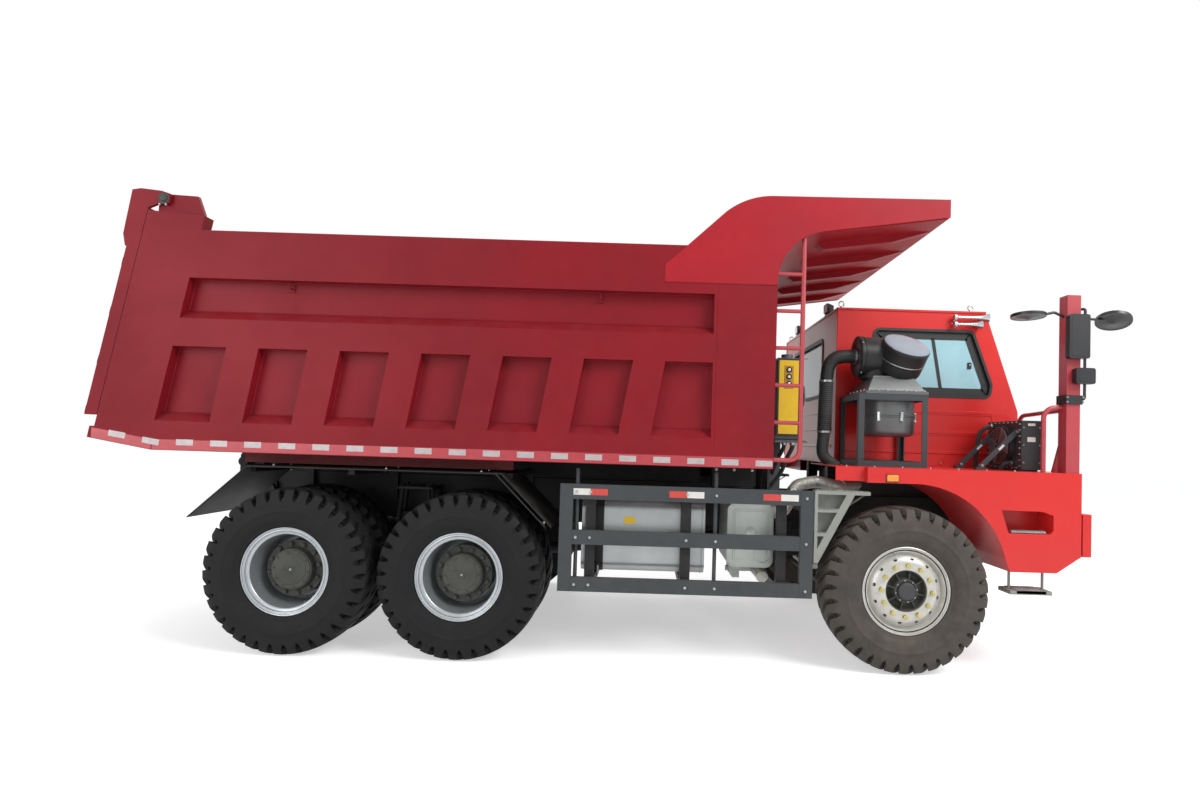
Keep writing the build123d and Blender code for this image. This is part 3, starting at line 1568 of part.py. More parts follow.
def make_right_mirrors():
    """Rectangular and round mirrors on bent arms that are clamped to the post."""
    y = -mirror_y
    front = deck_post_x[1]
    heads = cushion_box((1257, 1424), right_head_y, (2585, 2945), 20)
    heads += cushion_box((1315, 1470), right_head_y, (2380, 2510), 20)
    arm = tube(
        [
            (front, y - 25, 3000), (right_arm_x, right_arm_y, 2995), (right_arm_x, right_arm_y, 2262),
            (front + 8, y - 25, 2255),
        ],
        mirror_arm, 16,
    )
    clamp = block(deck_post_x[0] - 10, front + 12, y - 68, y + 68, 2216, 2290)
    clamp -= block(*deck_post_x, *deck_post_y, 2210, 2300)
    post_space = block(*deck_post_x, *deck_post_y, deck_z, deck_post_top_z)
    front_arm = tube([(front, y, 2935), (1560, y, 2925), (1680, y, 2925)], mirror_arm, 40)
    front_disc = mirror_disc((1688, y, 2922), (0.2, 0.35, 0.91))
    rear_arm = tube([(deck_post_x[0], y, 2940), (1200, y, 2975), (1080, y, 2945)], mirror_arm, 40)
    rear_disc = mirror_disc((985, y, 2940), (0, 0.05, 1))
    return [
        heads + (arm - post_space), clamp, front_arm + front_disc - post_space,
        rear_arm + rear_disc - post_space,
    ]


def make_left_mirrors():
    """Two rectangular heads, one above the other, on an arm from the cab's front corner."""
    y = mirror_y
    heads = cushion_box((1395, 1472), (y - 100, y + 90), (2590, 2940), 25)
    heads += cushion_box((1425, 1490), (y - 90, y + 80), (2385, 2535), 25)
    low_x = cab_nose_x - 8
    high_x = pillar_x(3000)
    arm = tube(
        [(low_x, y, 2100), (1478, y, 2110), (1478, y, 2990), (high_x, y, 3000)], mirror_arm, 60
    )
    arm -= side_shape(cab_profile(0), cab_right_y, cab_left_y)
    return [heads + arm]


save("cooler", make_cooler())
save("deck_rails", make_handrails())
save("mirrors", *make_right_mirrors(), *make_left_mirrors())


# ---- rear mudguards, hoist oil tank and battery box ----

mudguard_y = (800, 1600)
mudguard_plate = 6
mudguard_top_z = 1512
mudguard_points = [
    (rear_axle_x - 804, 1088), (rear_axle_x - 343, mudguard_top_z),
    (mid_axle_x + 313, mudguard_top_z), (mid_axle_x + 732, 1093),
]
mudguard_arm_xs = [rear_axle_x - 380, bogie_x - 260, mid_axle_x + 350]
mudguard_foot_y = rail_outer_y + 50


def make_mudguard(side):
    """A folded sheet over both rear wheels on arms from the frame."""
    t = mudguard_plate
    sheet = side_shape(
        [
            mudguard_points[0], mudguard_points[1], mudguard_points[2], mudguard_points[3],
            (mudguard_points[3][0] - t, mudguard_points[3][1] - t),
            (mudguard_points[2][0] - 0.6 * t, mudguard_top_z - t),
            (mudguard_points[1][0] + 0.6 * t, mudguard_top_z - t),
            (mudguard_points[0][0] + t, mudguard_points[0][1] - t),
        ],
        *sorted([side * mudguard_y[0], side * mudguard_y[1]]),
    )
    for x in mudguard_arm_xs:
        arm_y = sorted([side * (mudguard_foot_y - 25), side * (mudguard_y[1] - 150)])
        arm = block(x - 25, x + 25, *arm_y, mudguard_top_z - t - 50, mudguard_top_z - t)
        foot_y = sorted([side * rail_outer_y, side * mudguard_foot_y])
        arm += block(x - 40, x + 40, *foot_y, rail_top_z - 150, rail_top_z + 60)
        post_y = sorted([side * (mudguard_foot_y - 25), side * mudguard_foot_y])
        arm += block(x - 40, x + 40, *post_y, rail_top_z + 59, mudguard_top_z - t)
        sheet += arm
    return sheet


oil_tank_x = (-1035, -800)
oil_tank_y = (-1310, -560)
oil_tank_z = (1850, 2555)
oil_shelf = 14


def make_oil_tank():
    """The hoist's oil tank on its shelf, with the column that carries the shelf from the frame."""
    tank = end_rounded_box(oil_tank_x, oil_tank_y, oil_tank_z, 30)
    cap = rod_z(-920, oil_tank_y[0] + 120, oil_tank_z[1], oil_tank_z[1] + 45, 50)
    shelf_z = (oil_tank_z[0] - oil_shelf, oil_tank_z[0])
    shelf = block(oil_tank_x[0] - 2, oil_tank_x[1] + 40, oil_tank_y[0] - 15, oil_tank_y[1] + 15, *shelf_z)
    column = block(-960, -860, -700, -600, rail_top_z - 100, oil_tank_z[0] - oil_shelf)
    foot = block(-960, -860, -601, -rail_outer_y, rail_top_z - 100, rail_top_z - 10)
    return tank + cap + shelf + column + foot


battery_x = (tank_x[0], tank_x[0] + 740)
battery_y = (820, 1440)
battery_z = (760, 1290)
air_tank_radius = 140
air_tank_x = (-1820, -1000)


def make_battery_box():
    """The battery box with its stepped lid, on the left-hand brackets."""
    box = end_rounded_box(battery_x, battery_y, battery_z, 25)
    lid = block(battery_x[0] - 12, battery_x[1] + 12, battery_y[0] - 12, battery_y[1] + 12, battery_z[1] - 60,
                battery_z[1] + 15)
    legs = [
        block(x - 40, x + 40, battery_y[0] + 60, battery_y[1] - 60, guard_bar_zs[-1][0] + 100, battery_z[0])
        for x in (outrigger_xs[0], battery_x[1] - 60)
    ]
    return box + lid + legs[0] + legs[1]


def make_air_tanks():
    """Two brake air tanks side by side, on the left-hand brackets."""
    tanks = []
    for y in (880, 1220):
        z = guard_bar_zs[-1][0] + 100 + air_tank_radius
        tanks.append(rod_x(*air_tank_x, y, z, air_tank_radius))
    return tanks


save("rear_mudguards", make_mudguard(-1), make_mudguard(1))
save("hoist_oil_tank", make_oil_tank())
save("battery_box", make_battery_box())
save("air_tanks", *make_air_tanks())
save("chassis_frame", make_chassis())
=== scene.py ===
import random
from functools import partial
from math import atan, copysign, cos, exp, pi, radians, sin, tan

import bmesh
import bpy
from mathutils import Matrix, Vector


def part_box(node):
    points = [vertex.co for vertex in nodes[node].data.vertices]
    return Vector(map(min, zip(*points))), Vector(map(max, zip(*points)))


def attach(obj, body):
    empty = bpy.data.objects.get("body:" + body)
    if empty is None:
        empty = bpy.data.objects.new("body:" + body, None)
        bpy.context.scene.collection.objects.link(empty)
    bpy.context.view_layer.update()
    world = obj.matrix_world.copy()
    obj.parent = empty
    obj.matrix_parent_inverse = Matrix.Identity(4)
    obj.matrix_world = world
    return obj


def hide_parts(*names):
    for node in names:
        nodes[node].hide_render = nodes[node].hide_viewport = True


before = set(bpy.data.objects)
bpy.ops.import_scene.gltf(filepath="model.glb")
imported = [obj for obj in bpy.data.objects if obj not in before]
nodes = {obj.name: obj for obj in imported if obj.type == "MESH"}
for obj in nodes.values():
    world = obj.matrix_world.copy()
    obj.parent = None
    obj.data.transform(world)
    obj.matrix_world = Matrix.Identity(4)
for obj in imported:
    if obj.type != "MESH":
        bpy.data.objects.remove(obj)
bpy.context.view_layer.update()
scene = bpy.context.scene
scene.view_settings.view_transform = "Standard"

# places are in mm, with x measured forward from the front axle, y to the left and z up
hubLow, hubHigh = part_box("front_right_tyre")
axleX = (hubLow.x + hubHigh.x) / 2
axleZ = 1000 * (hubLow.z + hubHigh.z) / 2
mm = 0.001


def boxOf(node):
    # a CAD node's box in the same mm
    return [(corner - Vector((axleX, 0, 0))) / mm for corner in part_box(node)]


def hexToLinear(code):
    # sRGB hex to the linear values that the nodes want
    parts = [int(code[i:i + 2], 16) / 255 for i in (1, 3, 5)]
    return (*(c / 12.92 if c <= 0.04045 else ((c + 0.055) / 1.055) ** 2.4 for c in parts), 1.0)


def addNode(tree, kind, links=None, **settings):
    # links are input sockets and what goes into them; settings are the node's own choices
    node = tree.nodes.new(kind)
    for name, value in settings.items():
        setattr(node, name, value)
    for name, value in (links or {}).items():
        if isinstance(value, bpy.types.Node):
            value = value.outputs[0]
        if isinstance(value, bpy.types.NodeSocket):
            tree.links.new(value, node.inputs[name])
        else:
            node.inputs[name].default_value = value
    return node


def repeatTree(name, own):
    # copies of a part along a straight line, or with a Start, turned about the y axis
    tree = bpy.data.node_groups.new(name, "GeometryNodeTree")
    add = partial(addNode, tree)
    for label, kind in (("Geometry", "Geometry"), ("Part", "Object"), ("Count", "Int"), ("Finish",
            "Material"), *own.items()):
        tree.interface.new_socket(label, in_out="INPUT", socket_type="NodeSocket" + kind)
    tree.interface.new_socket("Geometry", in_out="OUTPUT", socket_type="NodeSocketGeometry")
    inputs = add("NodeGroupInput").outputs
    line = add("GeometryNodeMeshLine", {"Count": inputs["Count"], "Offset": (0, 0, 0)}, mode="OFFSET")
    part = add("GeometryNodeObjectInfo", {"Object": inputs["Part"]}, transform_space="ORIGINAL")
    copies = add("GeometryNodeInstanceOnPoints", {"Points": line, "Instance": part.outputs["Geometry"]})
    if "Start" in own:
        step = add("ShaderNodeMath", {0: 2 * pi, 1: inputs["Count"]}, operation="DIVIDE")
        angle = add("ShaderNodeMath", {0: add("GeometryNodeInputIndex"), 1: step, 2: inputs["Start"]},
            operation="MULTIPLY_ADD")
        tree.links.new(add("ShaderNodeCombineXYZ", {"Y": angle}).outputs[0], copies.inputs["Rotation"])
        whole = add("GeometryNodeRealizeInstances", {"Geometry": copies})
        copies = add("GeometryNodeMergeByDistance", {"Geometry": whole, "Distance": inputs["Join"]})
    else:
        tree.links.new(inputs["Step"], line.inputs["Offset"])
    # both end the same way: real geometry with one finish
    real = add("GeometryNodeRealizeInstances", {"Geometry": copies})
    coat = add("GeometryNodeSetMaterial", {"Geometry": real, "Material": inputs["Finish"]})
    add("NodeGroupOutput", {"Geometry": coat})
    return tree


roundTree = repeatTree("repeatRound", {"Start": "Float", "Join": "Float"})
rowTree = repeatTree("repeatAlong", {"Step": "Vector"})


def grow(tree, part, **values):
    # run one of the trees on a Shape and hand back a plain mesh
    source = bpy.data.objects.new("part", part.asMesh())
    host = bpy.data.objects.new("host", bpy.data.meshes.new("host"))
    for thing in (source, host):
        scene.collection.objects.link(thing)
    modifier = host.modifiers.new("repeat", "NODES")
    modifier.node_group = tree
    values.update(Part=source, Finish=part.finish)
    for item in tree.interface.items_tree:
        if item.item_type == "SOCKET" and item.in_out == "INPUT" and item.name in values:
            modifier[item.identifier] = values[item.name]
    bpy.context.view_layer.update()
    seen = host.evaluated_get(bpy.context.evaluated_depsgraph_get())
    mesh = bpy.data.meshes.new_from_object(seen)
    host.modifiers.clear()
    bpy.data.objects.remove(host)
    bpy.data.objects.remove(source)
    return mesh


def axes(axis):
    # a direction and two more square to it
    along = Vector(axis).normalized()
    side = along.orthogonal().normalized()
    return along, side, along.cross(side)


def circle(middle, side, up, count):
    return [middle + side * cos(2 * pi * j / count) + up * sin(2 * pi * j / count) for j in range(count)]


class Shape:
    # a mesh in the making; its own finish goes on every face that isn't given another
    def __init__(self, finish=None):
        self.bm = bmesh.new()
        self.finish = finish
        self.finishes = []

    def slotOf(self, finish):
        finish = finish or self.finish
        if finish not in self.finishes:
            self.finishes.append(finish)
        return self.finishes.index(finish)

    def faces(self, rings, finish=None, closeAlong=False, caps=False, ends=(), turn=None):
        # skin a list of rings of points; it can join up, be capped flat or run out to a point at each end
        rows = [[self.bm.verts.new(turn @ Vector(p) if turn else p) for p in ring] for ring in rings]
        size = len(rows[0])
        made = []
        for a, b in zip(rows, rows[1:] + rows[:closeAlong]):
            made += [self.bm.faces.new((a[j], a[(j + 1) % size], b[(j + 1) % size],
                b[j])) for j in range(size)]
        if caps:
            made += [self.bm.faces.new(rows[0][::-1]), self.bm.faces.new(rows[-1])]
        for row, end in zip((rows[0], rows[-1]), ends):
            tip = self.bm.verts.new(end)
            made += [self.bm.faces.new((row[j], row[(j + 1) % size], tip)) for j in range(size)]
        index = self.slotOf(finish)
        for face in made:
            face.material_index = index
        bmesh.ops.recalc_face_normals(self.bm, faces=made)
        return made

    def soften(self, made, width):
        edges = {e for f in made for e in f.edges if e.calc_face_angle(0) > 0.5}
        index = made[0].material_index
        result = bmesh.ops.bevel(self.bm, geom=list(edges), offset=width, segments=1, affect="EDGES",
            profile=0.6)
        for face in result["faces"]:
            face.material_index = index

    def plate(self, outline, ys, finish=None, edge=2, turn=None):
        # an outline in x and z, carried from one y to another
        made = self.faces([[(x, y, z) for x, z in outline] for y in sorted(ys)], finish, caps=True, turn=turn)
        if edge:
            self.soften(made, edge)

    def slab(self, xs, ys, zs, finish=None, edge=3, turn=None):
        # a squared block with softened edges
        ring = lambda z: [(xs[0], ys[0], z), (xs[1], ys[0], z), (xs[1], ys[1], z), (xs[0], ys[1], z)]
        ys = sorted(ys)
        made = self.faces([ring(zs[0]), ring(zs[1])], finish, caps=True, turn=turn)
        if edge:
            self.soften(made, edge)

    def lathe(self, profile, place=(0, 0, 0), axis=(0, 1, 0), count=48, finish=None):
        # a closed outline of (along, radius) turned about an axis
        along, side, up = axes(axis)
        self.faces([[Vector(place) + along * a + out * r for a, r in profile] for out in circle(Vector(),
            side, up, count)], finish, closeAlong=True)

    def disc(self, place, axis, profile, count=24, finish=None):
        # a turned solid closed on its axis: profile runs from the axis out and back to it
        along, side, up = axes(axis)
        spots = [(Vector(place) + along * a, r) for a, r in profile]
        around = circle(Vector(), side, up, count)
        self.faces([[spot + out * r for out in around] for spot, r in spots[1:-1]], finish, ends=(spots[0][0],
            spots[-1][0]))

    def rod(self, start, end, radius, count=16, edge=1.5, finish=None):
        ahead = Vector(end) - Vector(start)
        length = ahead.length
        edge = min(edge, radius * 0.4, length * 0.2)
        self.disc(start, ahead, [(0, 0), (0, radius - edge), (edge, radius), (length - edge, radius), (length,
            radius - edge), (length, 0)], count, finish)

    def hexHead(self, place, axis, across, height, finish=None):
        # a bolt head or nut with a washer under it and the bolt's end showing
        finish = finish or zincBright
        washer, flat, corner, stem, tip = [across * share for share in (0.62, 0.56, 0.48, 0.28, 0.26)]
        self.disc(place, axis, [(-1, 0), (-1, washer), (2.5, washer), (2.5, 0)], 16, finish)
        self.disc(place, axis, [(2, 0), (2, flat), (height - 2, flat), (height, corner), (height, 0)], 6,
            finish)
        self.disc(place, axis, [(height - 1, 0), (height - 1, stem), (height + 5, tip), (height + 5, 0)], 10,
            finish)

    def pipe(self, points, radius, finish=None, count=16, smooth=6, radii=None):
        # a tube along a smooth line through the points; radii may vary along it
        line = smoothLine(points, smooth)
        rings = []
        normal = None
        for i, p in enumerate(line):
            ahead = (line[min(i + 1, len(line) - 1)] - line[max(i - 1, 0)]).normalized()
            normal = normal or ahead.orthogonal().normalized()
            normal = (normal - ahead * normal.dot(ahead)).normalized()
            r = radii(i / (len(line) - 1)) if radii else radius
            rings.append(circle(p, normal * r, ahead.cross(normal) * r, count))
        self.faces(rings, finish, caps=True)

    def take(self, mesh, finish, turn=None):
        # add a grown mesh, moved by turn
        mesh.transform(turn or Matrix())
        mesh.polygons.foreach_set("material_index", [self.slotOf(finish)] * len(mesh.polygons))
        self.bm.from_mesh(mesh)
        bpy.data.meshes.remove(mesh)

    def ring(self, part, count, start=0.0, join=0.0, turn=None):
        # copies of another Shape round the y axis
        self.take(grow(roundTree, part, Count=count, Start=start, Join=join), part.finish, turn)

    def row(self, part, count, step):
        self.take(grow(rowTree, part, Count=count, Step=step), part.finish)

    def bolts(self, count, step, *head):
        # a row of bright bolts, each as hexHead makes it
        bolt = Shape(zincBright)
        bolt.hexHead(*head)
        self.row(bolt, count, step)

    def asMesh(self, name="part"):
        mesh = bpy.data.meshes.new(name)
        self.bm.to_mesh(mesh)
        self.bm.free()
        return mesh


def smoothLine(points, steps):
    # Catmull-Rom through the points
    pts = [Vector(p) for p in points]
    if len(pts) == 2 or steps < 2:
        return pts
    pts = [pts[0] * 2 - pts[1]] + pts + [pts[-1] * 2 - pts[-2]]
    out = []
    for a, b, c, d in zip(pts, pts[1:], pts[2:], pts[3:]):
        for t in (k / steps for k in range(steps)):
            out.append(0.5 * (2 * b + (c - a) * t + (2 * a - 5 * b + 4 * c - d) * t * t + (3 * b - a - 3 * c
                + d) * t ** 3))
    return out + [pts[-2]]


def finishPiece(shape, name, body, replaces=(), angle=35, move=None):
    # to metres in the truck's frame, then on to its body
    mesh = shape.asMesh(name)
    mesh.transform(move or Matrix())
    mesh.transform(Matrix.Translation((axleX, 0, 0)) @ Matrix.Scale(mm, 4))
    for finish in shape.finishes:
        mesh.materials.append(finish)
    mesh.polygons.foreach_set("use_smooth", [True] * len(mesh.polygons))
    mesh.set_sharp_from_angle(angle=radians(angle))
    mesh.update()
    piece = bpy.data.objects.new(name, mesh)
    scene.collection.objects.link(piece)
    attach(piece, body)
    if replaces:
        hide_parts(*replaces)
    return piece


def newMaterial(name):
    # an empty node material, what adds nodes to it and its coordinates
    material = bpy.data.materials.new(name)
    material.use_nodes = True
    tree = material.node_tree
    tree.nodes.clear()
    add = partial(addNode, tree)
    return material, add, add("ShaderNodeTexCoord").outputs


def makeFinish(name, colour, shade, roughness, metallic=0.0, ior=1.5, coat=0.0, coatRoughness=0.03, sheen=0.0,
        sheenRoughness=0.5, cloud=0.6, cloudSize=600, roughSpread=0.06, dust=0, dustBase=0.12,
        dustColour="#8A7F70", dustHigh=0.35, dustTop=2.0, dustSize=90, speck=0, speckSize=30,
        speckColour="#54403C", grain=3, stretch=(1, 1, 1), relief=0.5, depth=0.2, dent=0, dentSize=420):
    # a worn, dusty solid surface; sizes are in mm, dustTop in metres over the ground
    material, add, where = newMaterial(name)
    place = where["Object"]

    def noise(size, detail, rough=0.5, vector=place):
        return add("ShaderNodeTexNoise", {"Vector": vector, "Scale": 1000 / size, "Detail": detail,
            "Roughness": rough}).outputs["Fac"]

    def spread(value, low, high, start, end):
        return add("ShaderNodeMapRange", {"Value": value, "From Min": low, "From Max": high, "To Min": start,
            "To Max": end})

    def blend(amount, first, second, kind="RGBA"):
        return add("ShaderNodeMix", {"Factor": amount, "A": first, "B": second},
            data_type=kind).outputs["Result"]

    def times(first, second, clamp=False):
        return add("ShaderNodeMath", {0: first, 1: second}, operation="MULTIPLY", use_clamp=clamp)

    def bump(height, strength, distance, **more):
        return add("ShaderNodeBump", {"Height": height, "Strength": strength, "Distance": distance * mm,
            **more})

    # slow change of shade and gloss over the sheet
    clouds = noise(cloudSize, 4.0, 0.6)
    tone = blend(spread(clouds, 0.3, 0.7, 0.0, cloud), hexToLinear(colour), hexToLinear(shade))
    gloss = spread(clouds, 0.3, 0.7, max(0.03, roughness - roughSpread), min(1.0, roughness + roughSpread))
    if dust:
        # dust lies on what faces up and towards the ground's spray, in blotches
        facing, height = [add("ShaderNodeSeparateXYZ", {0: where[kind]}).outputs["Z"] for kind in ("Normal",
            "Object")]
        fall = times(spread(facing, -0.2, 1.0, dustBase, 1.0), spread(height, 0.3, dustTop, 1.0, dustHigh))
        amount = times(times(fall, spread(noise(dustSize, 6.0, 0.65), 0.35, 0.68, 0.15, 1.0)), dust, True)
        tone = blend(amount, tone, hexToLinear(dustColour))
        gloss = blend(amount, gloss, 0.9, "FLOAT")
    if speck:
        # small chips and stone marks
        chips = add("ShaderNodeTexVoronoi", {"Vector": place, "Scale": 1000 / speckSize, "Randomness": 1.0},
            feature="F1")
        tone = blend(spread(chips, 0.05, 0.14, speck, 0.0), tone, hexToLinear(speckColour))
    # grain of the surface itself, and sheet that is not quite flat after welding
    drawn = add("ShaderNodeMapping", {"Vector": place, "Scale": stretch}).outputs[0]
    normal = bump(noise(grain, 3.0, 0.55, drawn), relief, depth)
    if dent:
        normal = bump(noise(dentSize, 1.0), 1.0, dent, Normal=normal)
    closeMaterial(add, {"Base Color": tone, "Roughness": gloss, "Normal": normal, "Metallic": metallic,
        "IOR": ior, "Coat Weight": coat, "Coat Roughness": coatRoughness, "Sheen Weight": sheen,
        "Sheen Roughness": sheenRoughness})
    return material


def closeMaterial(add, values):
    # every material ends in one shader
    add("ShaderNodeOutputMaterial", {"Surface": add("ShaderNodeBsdfPrincipled", values)})


# what several finishes share
plateCoat = {"cloud": 0.7, "dustSize": 160, "grain": 5, "relief": 0.25, "depth": 0.3, "dent": 2.2}
stoved = {"dustHigh": 0.8, "dustTop": 3.4, "grain": 2.5, "relief": 0.35, "depth": 0.25}
onWheel = {"dust": 0.3, "dustBase": 0.2, "dustTop": 1.4, "grain": 2.5, "relief": 0.25}
tread = {"dustTop": 1.5, "grain": 2.2, "relief": 0.45, "depth": 0.35}
film = {"coat": 0.4, "coatRoughness": 0.15, "dust": 0.25, "dustTop": 2.2, "grain": 1.8}
newFilm = {"coat": 0.4, "coatRoughness": 0.12, "cloud": 0.5, "cloudSize": 40, "dust": 0.15, "dustTop": 1.8,
    "grain": 1.8, "relief": 0.4, "depth": 0.15}
lens = {"coat": 0.7, "coatRoughness": 0.05, "cloud": 0.4, "cloudSize": 20, "depth": 0.5}
fine = {"grain": 2, "relief": 0.2, "depth": 0.15}
# thick air-dried alkyd enamel sprayed on rolled plate: dull red with slow clouds and slight orange peel,
# drawn darker than the canopy's as painted shade of the body's shaded side
bedPaintShaded = makeFinish("alkyd_enamel_bed_red", "#861420", "#70121C", 0.46, ior=1.27, cloudSize=900, dust=0.16,
    dustColour="#8E6A66", dustHigh=0.6, dustTop=3.6, **plateCoat)
# the canopy's top and nose: the same enamel drawn brighter, as painted sunlight where the sun fell on them
canopyPaintLit = makeFinish("alkyd_enamel_canopy_red_lit", "#A61C27", "#8E1822", 0.42, ior=1.3, cloudSize=700,
    dust=0.14, dustColour="#96706C", dustHigh=0.7, dustTop=4.0, **plateCoat)
# the same enamel on the load side, rubbed dull by the first loads
bedInside = makeFinish("alkyd_enamel_scuffed", "#7E232A", "#62302F", 0.6, ior=1.3, cloud=0.9, cloudSize=500,
    dust=0.6, dustColour="#7F6E66", dustHigh=0.8, speck=0.5, speckSize=60, grain=4, relief=0.4, depth=0.5,
    dent=3.0)
# two-pack polyurethane on pressed steel: bright orange-red with a clear gloss
cabPaint = makeFinish("polyurethane_cab_red", "#D22A27", "#BD2425", 0.3, ior=1.4, coat=0.1,
    coatRoughness=0.15, cloud=0.5, cloudSize=1200, roughSpread=0.04, dust=0.08, dustColour="#A48A80",
    dustHigh=0.5, dustTop=2.6, relief=0.12)
# chassis black, a thin satin bitumen enamel over rolled rails; on the bed's beams it stands for painted shade
# under the body
framePaint = makeFinish("bitumen_enamel_frame", "#191A1C", "#201F1F", 0.5, ior=1.32, dust=0.45,
    dustColour="#6E655B", dustTop=1.8, grain=4, relief=0.35, depth=0.4)
# powder coat on square tube: mid grey, even, fine pebble
guardPaint = makeFinish("powder_coat_guard_grey", "#3F4346", "#36393C", 0.48, ior=1.32, cloud=0.5, dust=0.3,
    dustColour="#8C857A", dustTop=1.8, grain=2.5, relief=0.4, depth=0.25)
# the ladder and rails in their own red, rubbed by hands
ladderPaint = makeFinish("enamel_ladder_red", "#B23A42", "#96303A", 0.38, coat=0.2, coatRoughness=0.2,
    cloudSize=300, dust=0.12, relief=0.2, depth=0.25)
# warm grey primer topcoat on the folded stairs, scuffed by boots
stepPaint = makeFinish("grey_enamel_steps", "#8C8F89", "#777A74", 0.5, cloudSize=260, dust=0.5,
    dustColour="#857A68", dustTop=1.8, speck=0.5, speckSize=30, speckColour="#6E6A5F", relief=0.3, depth=0.3)
# fuel tank: rolled aluminium sheet under a thin clear film, soft streaked shine
tankMetal = makeFinish("rolled_aluminium_tank", "#A9ADAE", "#8F9394", 0.38, metallic=0.75, cloudSize=380,
    dust=0.35, dustColour="#8A8479", dustTop=1.5, stretch=(0.06, 1, 1), relief=0.35, depth=0.15, dent=1.2,
    dentSize=260)
# oil tank: grey machinery enamel
oilPaint = makeFinish("machinery_enamel_grey", "#5E6163", "#4F5254", 0.42, dust=0.3, relief=0.25, depth=0.25)
# hammered-silver heat paint on the pressed muffler
mufflerPaint = makeFinish("heat_paint_silver", "#B7BDB8", "#A1A7A2", 0.45, metallic=0.35, cloudSize=240,
    dust=0.35, dustColour="#8A8071", dustTop=1.4, grain=2.5, depth=0.3)
# woven glass lagging in foil: pale, creased
laggingFoil = makeFinish("foil_lagging_creased", "#C2C1B8", "#A6A59B", 0.42, metallic=0.55, cloud=0.8,
    cloudSize=60, dust=0.35, dustColour="#8E8676", grain=14, relief=0.9, depth=2.2)
# carbon-black natural rubber from a mould: dull, fine grain, brown dust in the tread; drawn near black for
# the rear tyres as painted shade from the body above them
tyreRubberShaded = makeFinish("vulcanised_rubber", "#121314", "#191A1B", 0.68, ior=1.3, cloud=0.7, cloudSize=220,
    dust=0.22, dustBase=0.35, dustColour="#4A4540", dustHigh=0.7, dustSize=130, **tread)
# the steered tyres: the same rubber drawn paler, partly with more dust and partly as painted sunlight
tyreDustyLit = makeFinish("vulcanised_rubber_dusty", "#2A2928", "#373330", 0.74, ior=1.5, cloud=0.8,
    cloudSize=200, dust=0.95, dustBase=0.5, dustColour="#5F554B", dustHigh=0.8, dustSize=150, **tread)
# silver wheel enamel on pressed steel, pale on the front wheels
wheelPale = makeFinish("wheel_enamel_pale", "#C6C5BF", "#ABAAA3", 0.34, metallic=0.4, cloud=0.7,
    cloudSize=160, dustColour="#9A9181", **onWheel)
wheelSilver = makeFinish("wheel_enamel_silver", "#B4B9BD", "#9AA0A3", 0.32, metallic=0.6, cloudSize=180,
    dustColour="#8C877C", **onWheel)
# sand-cast iron under one thin coat: grey-green, coarse
castIron = makeFinish("sand_cast_iron", "#4B4D49", "#3B3D39", 0.6, ior=1.35, metallic=0.2, cloud=0.7,
    cloudSize=120, dust=0.45, dustBase=0.25, dustColour="#6E6A5F", dustTop=1.4, grain=3.5, relief=0.8,
    depth=0.6)
# engine and axle castings in shadow grey
engineIron = makeFinish("painted_casting", "#33353A", "#2A2B2D", 0.58, cloud=0.7, cloudSize=200, dust=0.5,
    dustColour="#625C52", grain=4, relief=0.7, depth=0.6)
# yellow-passivated zinc on the wheel nuts
zincYellow = makeFinish("zinc_passivate_yellow", "#C9BE83", "#A89C62", 0.36, metallic=0.85, cloud=0.8,
    cloudSize=30, dust=0.25, **fine)
zincBright = makeFinish("zinc_plate_bright", "#B9BCBE", "#96999B", 0.34, metallic=0.9, cloudSize=40, dust=0.2,
    **fine)
# hard chrome on the hoist's ground tubes: a clear mirror with a faint turning mark
chromeRod = makeFinish("hard_chrome_ground", "#C9CCCF", "#B6B9BC", 0.12, metallic=1.0, cloud=0.3,
    roughSpread=0.03, stretch=(1, 1, 0.1), relief=0.08, depth=0.05)
# filter housing: textured stove enamel, mid grey
filterPaint = makeFinish("stove_enamel_filter", "#585B5C", "#494C4E", 0.36, coat=0.2, coatRoughness=0.2,
    cloudSize=220, dust=0.3, dustColour="#8B857A", **stoved)
drumPaint = makeFinish("stove_enamel_black", "#242526", "#1C1D1E", 0.4, ior=1.32, cloudSize=180, dust=0.35,
    dustColour="#77736B", **stoved)
# blue-grey translucent pre-cleaner lid, dusty polycarbonate
bowlPlastic = makeFinish("polycarbonate_lid", "#8D97A6", "#7A8493", 0.3, coat=0.25, coatRoughness=0.15,
    cloudSize=120, dust=0.3, dustColour="#A59E92", dustHigh=0.9, dustTop=3.4, grain=2, relief=0.12, depth=0.1)
# EPDM hose, extruded and cloth wrapped: matt black with fine cross ribs
hoseRubber = makeFinish("epdm_hose", "#1D1E20", "#262728", 0.62, sheen=0.15, sheenRoughness=0.5, cloudSize=80,
    dust=0.3, dustColour="#5E5A53", dustHigh=0.8, dustTop=3.2, grain=2, depth=0.3)
# injection-moulded ABS and polypropylene trim, fine spark-erosion grain
trimPlastic = makeFinish("moulded_polypropylene", "#26272A", "#1F2022", 0.55, cloud=0.5, dust=0.25,
    dustColour="#6A655C", grain=1.6)
mirrorPlastic = makeFinish("moulded_abs_black", "#1B1C1F", "#222327", 0.38, cloud=0.5, dust=0.12, grain=1.6,
    relief=0.35, depth=0.15)
# brazed aluminium cooler core and header tanks painted black
coolerPaint = makeFinish("black_radiator_enamel", "#303234", "#26282A", 0.44, metallic=0.15, dust=0.3,
    dustColour="#7A746A", dustTop=2.4, grain=2.5, relief=0.3)
finMetal = makeFinish("brazed_aluminium_fins", "#7C7F82", "#606366", 0.45, metallic=0.7, cloud=0.8,
    cloudSize=90, dust=0.3, stretch=(1, 0.1, 1), relief=0.4, depth=0.3)
# punched aluminium tread plate, dulled by boots
treadMetal = makeFinish("aluminium_tread_plate", "#A3A5A2", "#7F817E", 0.46, metallic=0.55, cloud=0.8,
    cloudSize=50, dust=0.4, dustColour="#7D766A", depth=0.3)
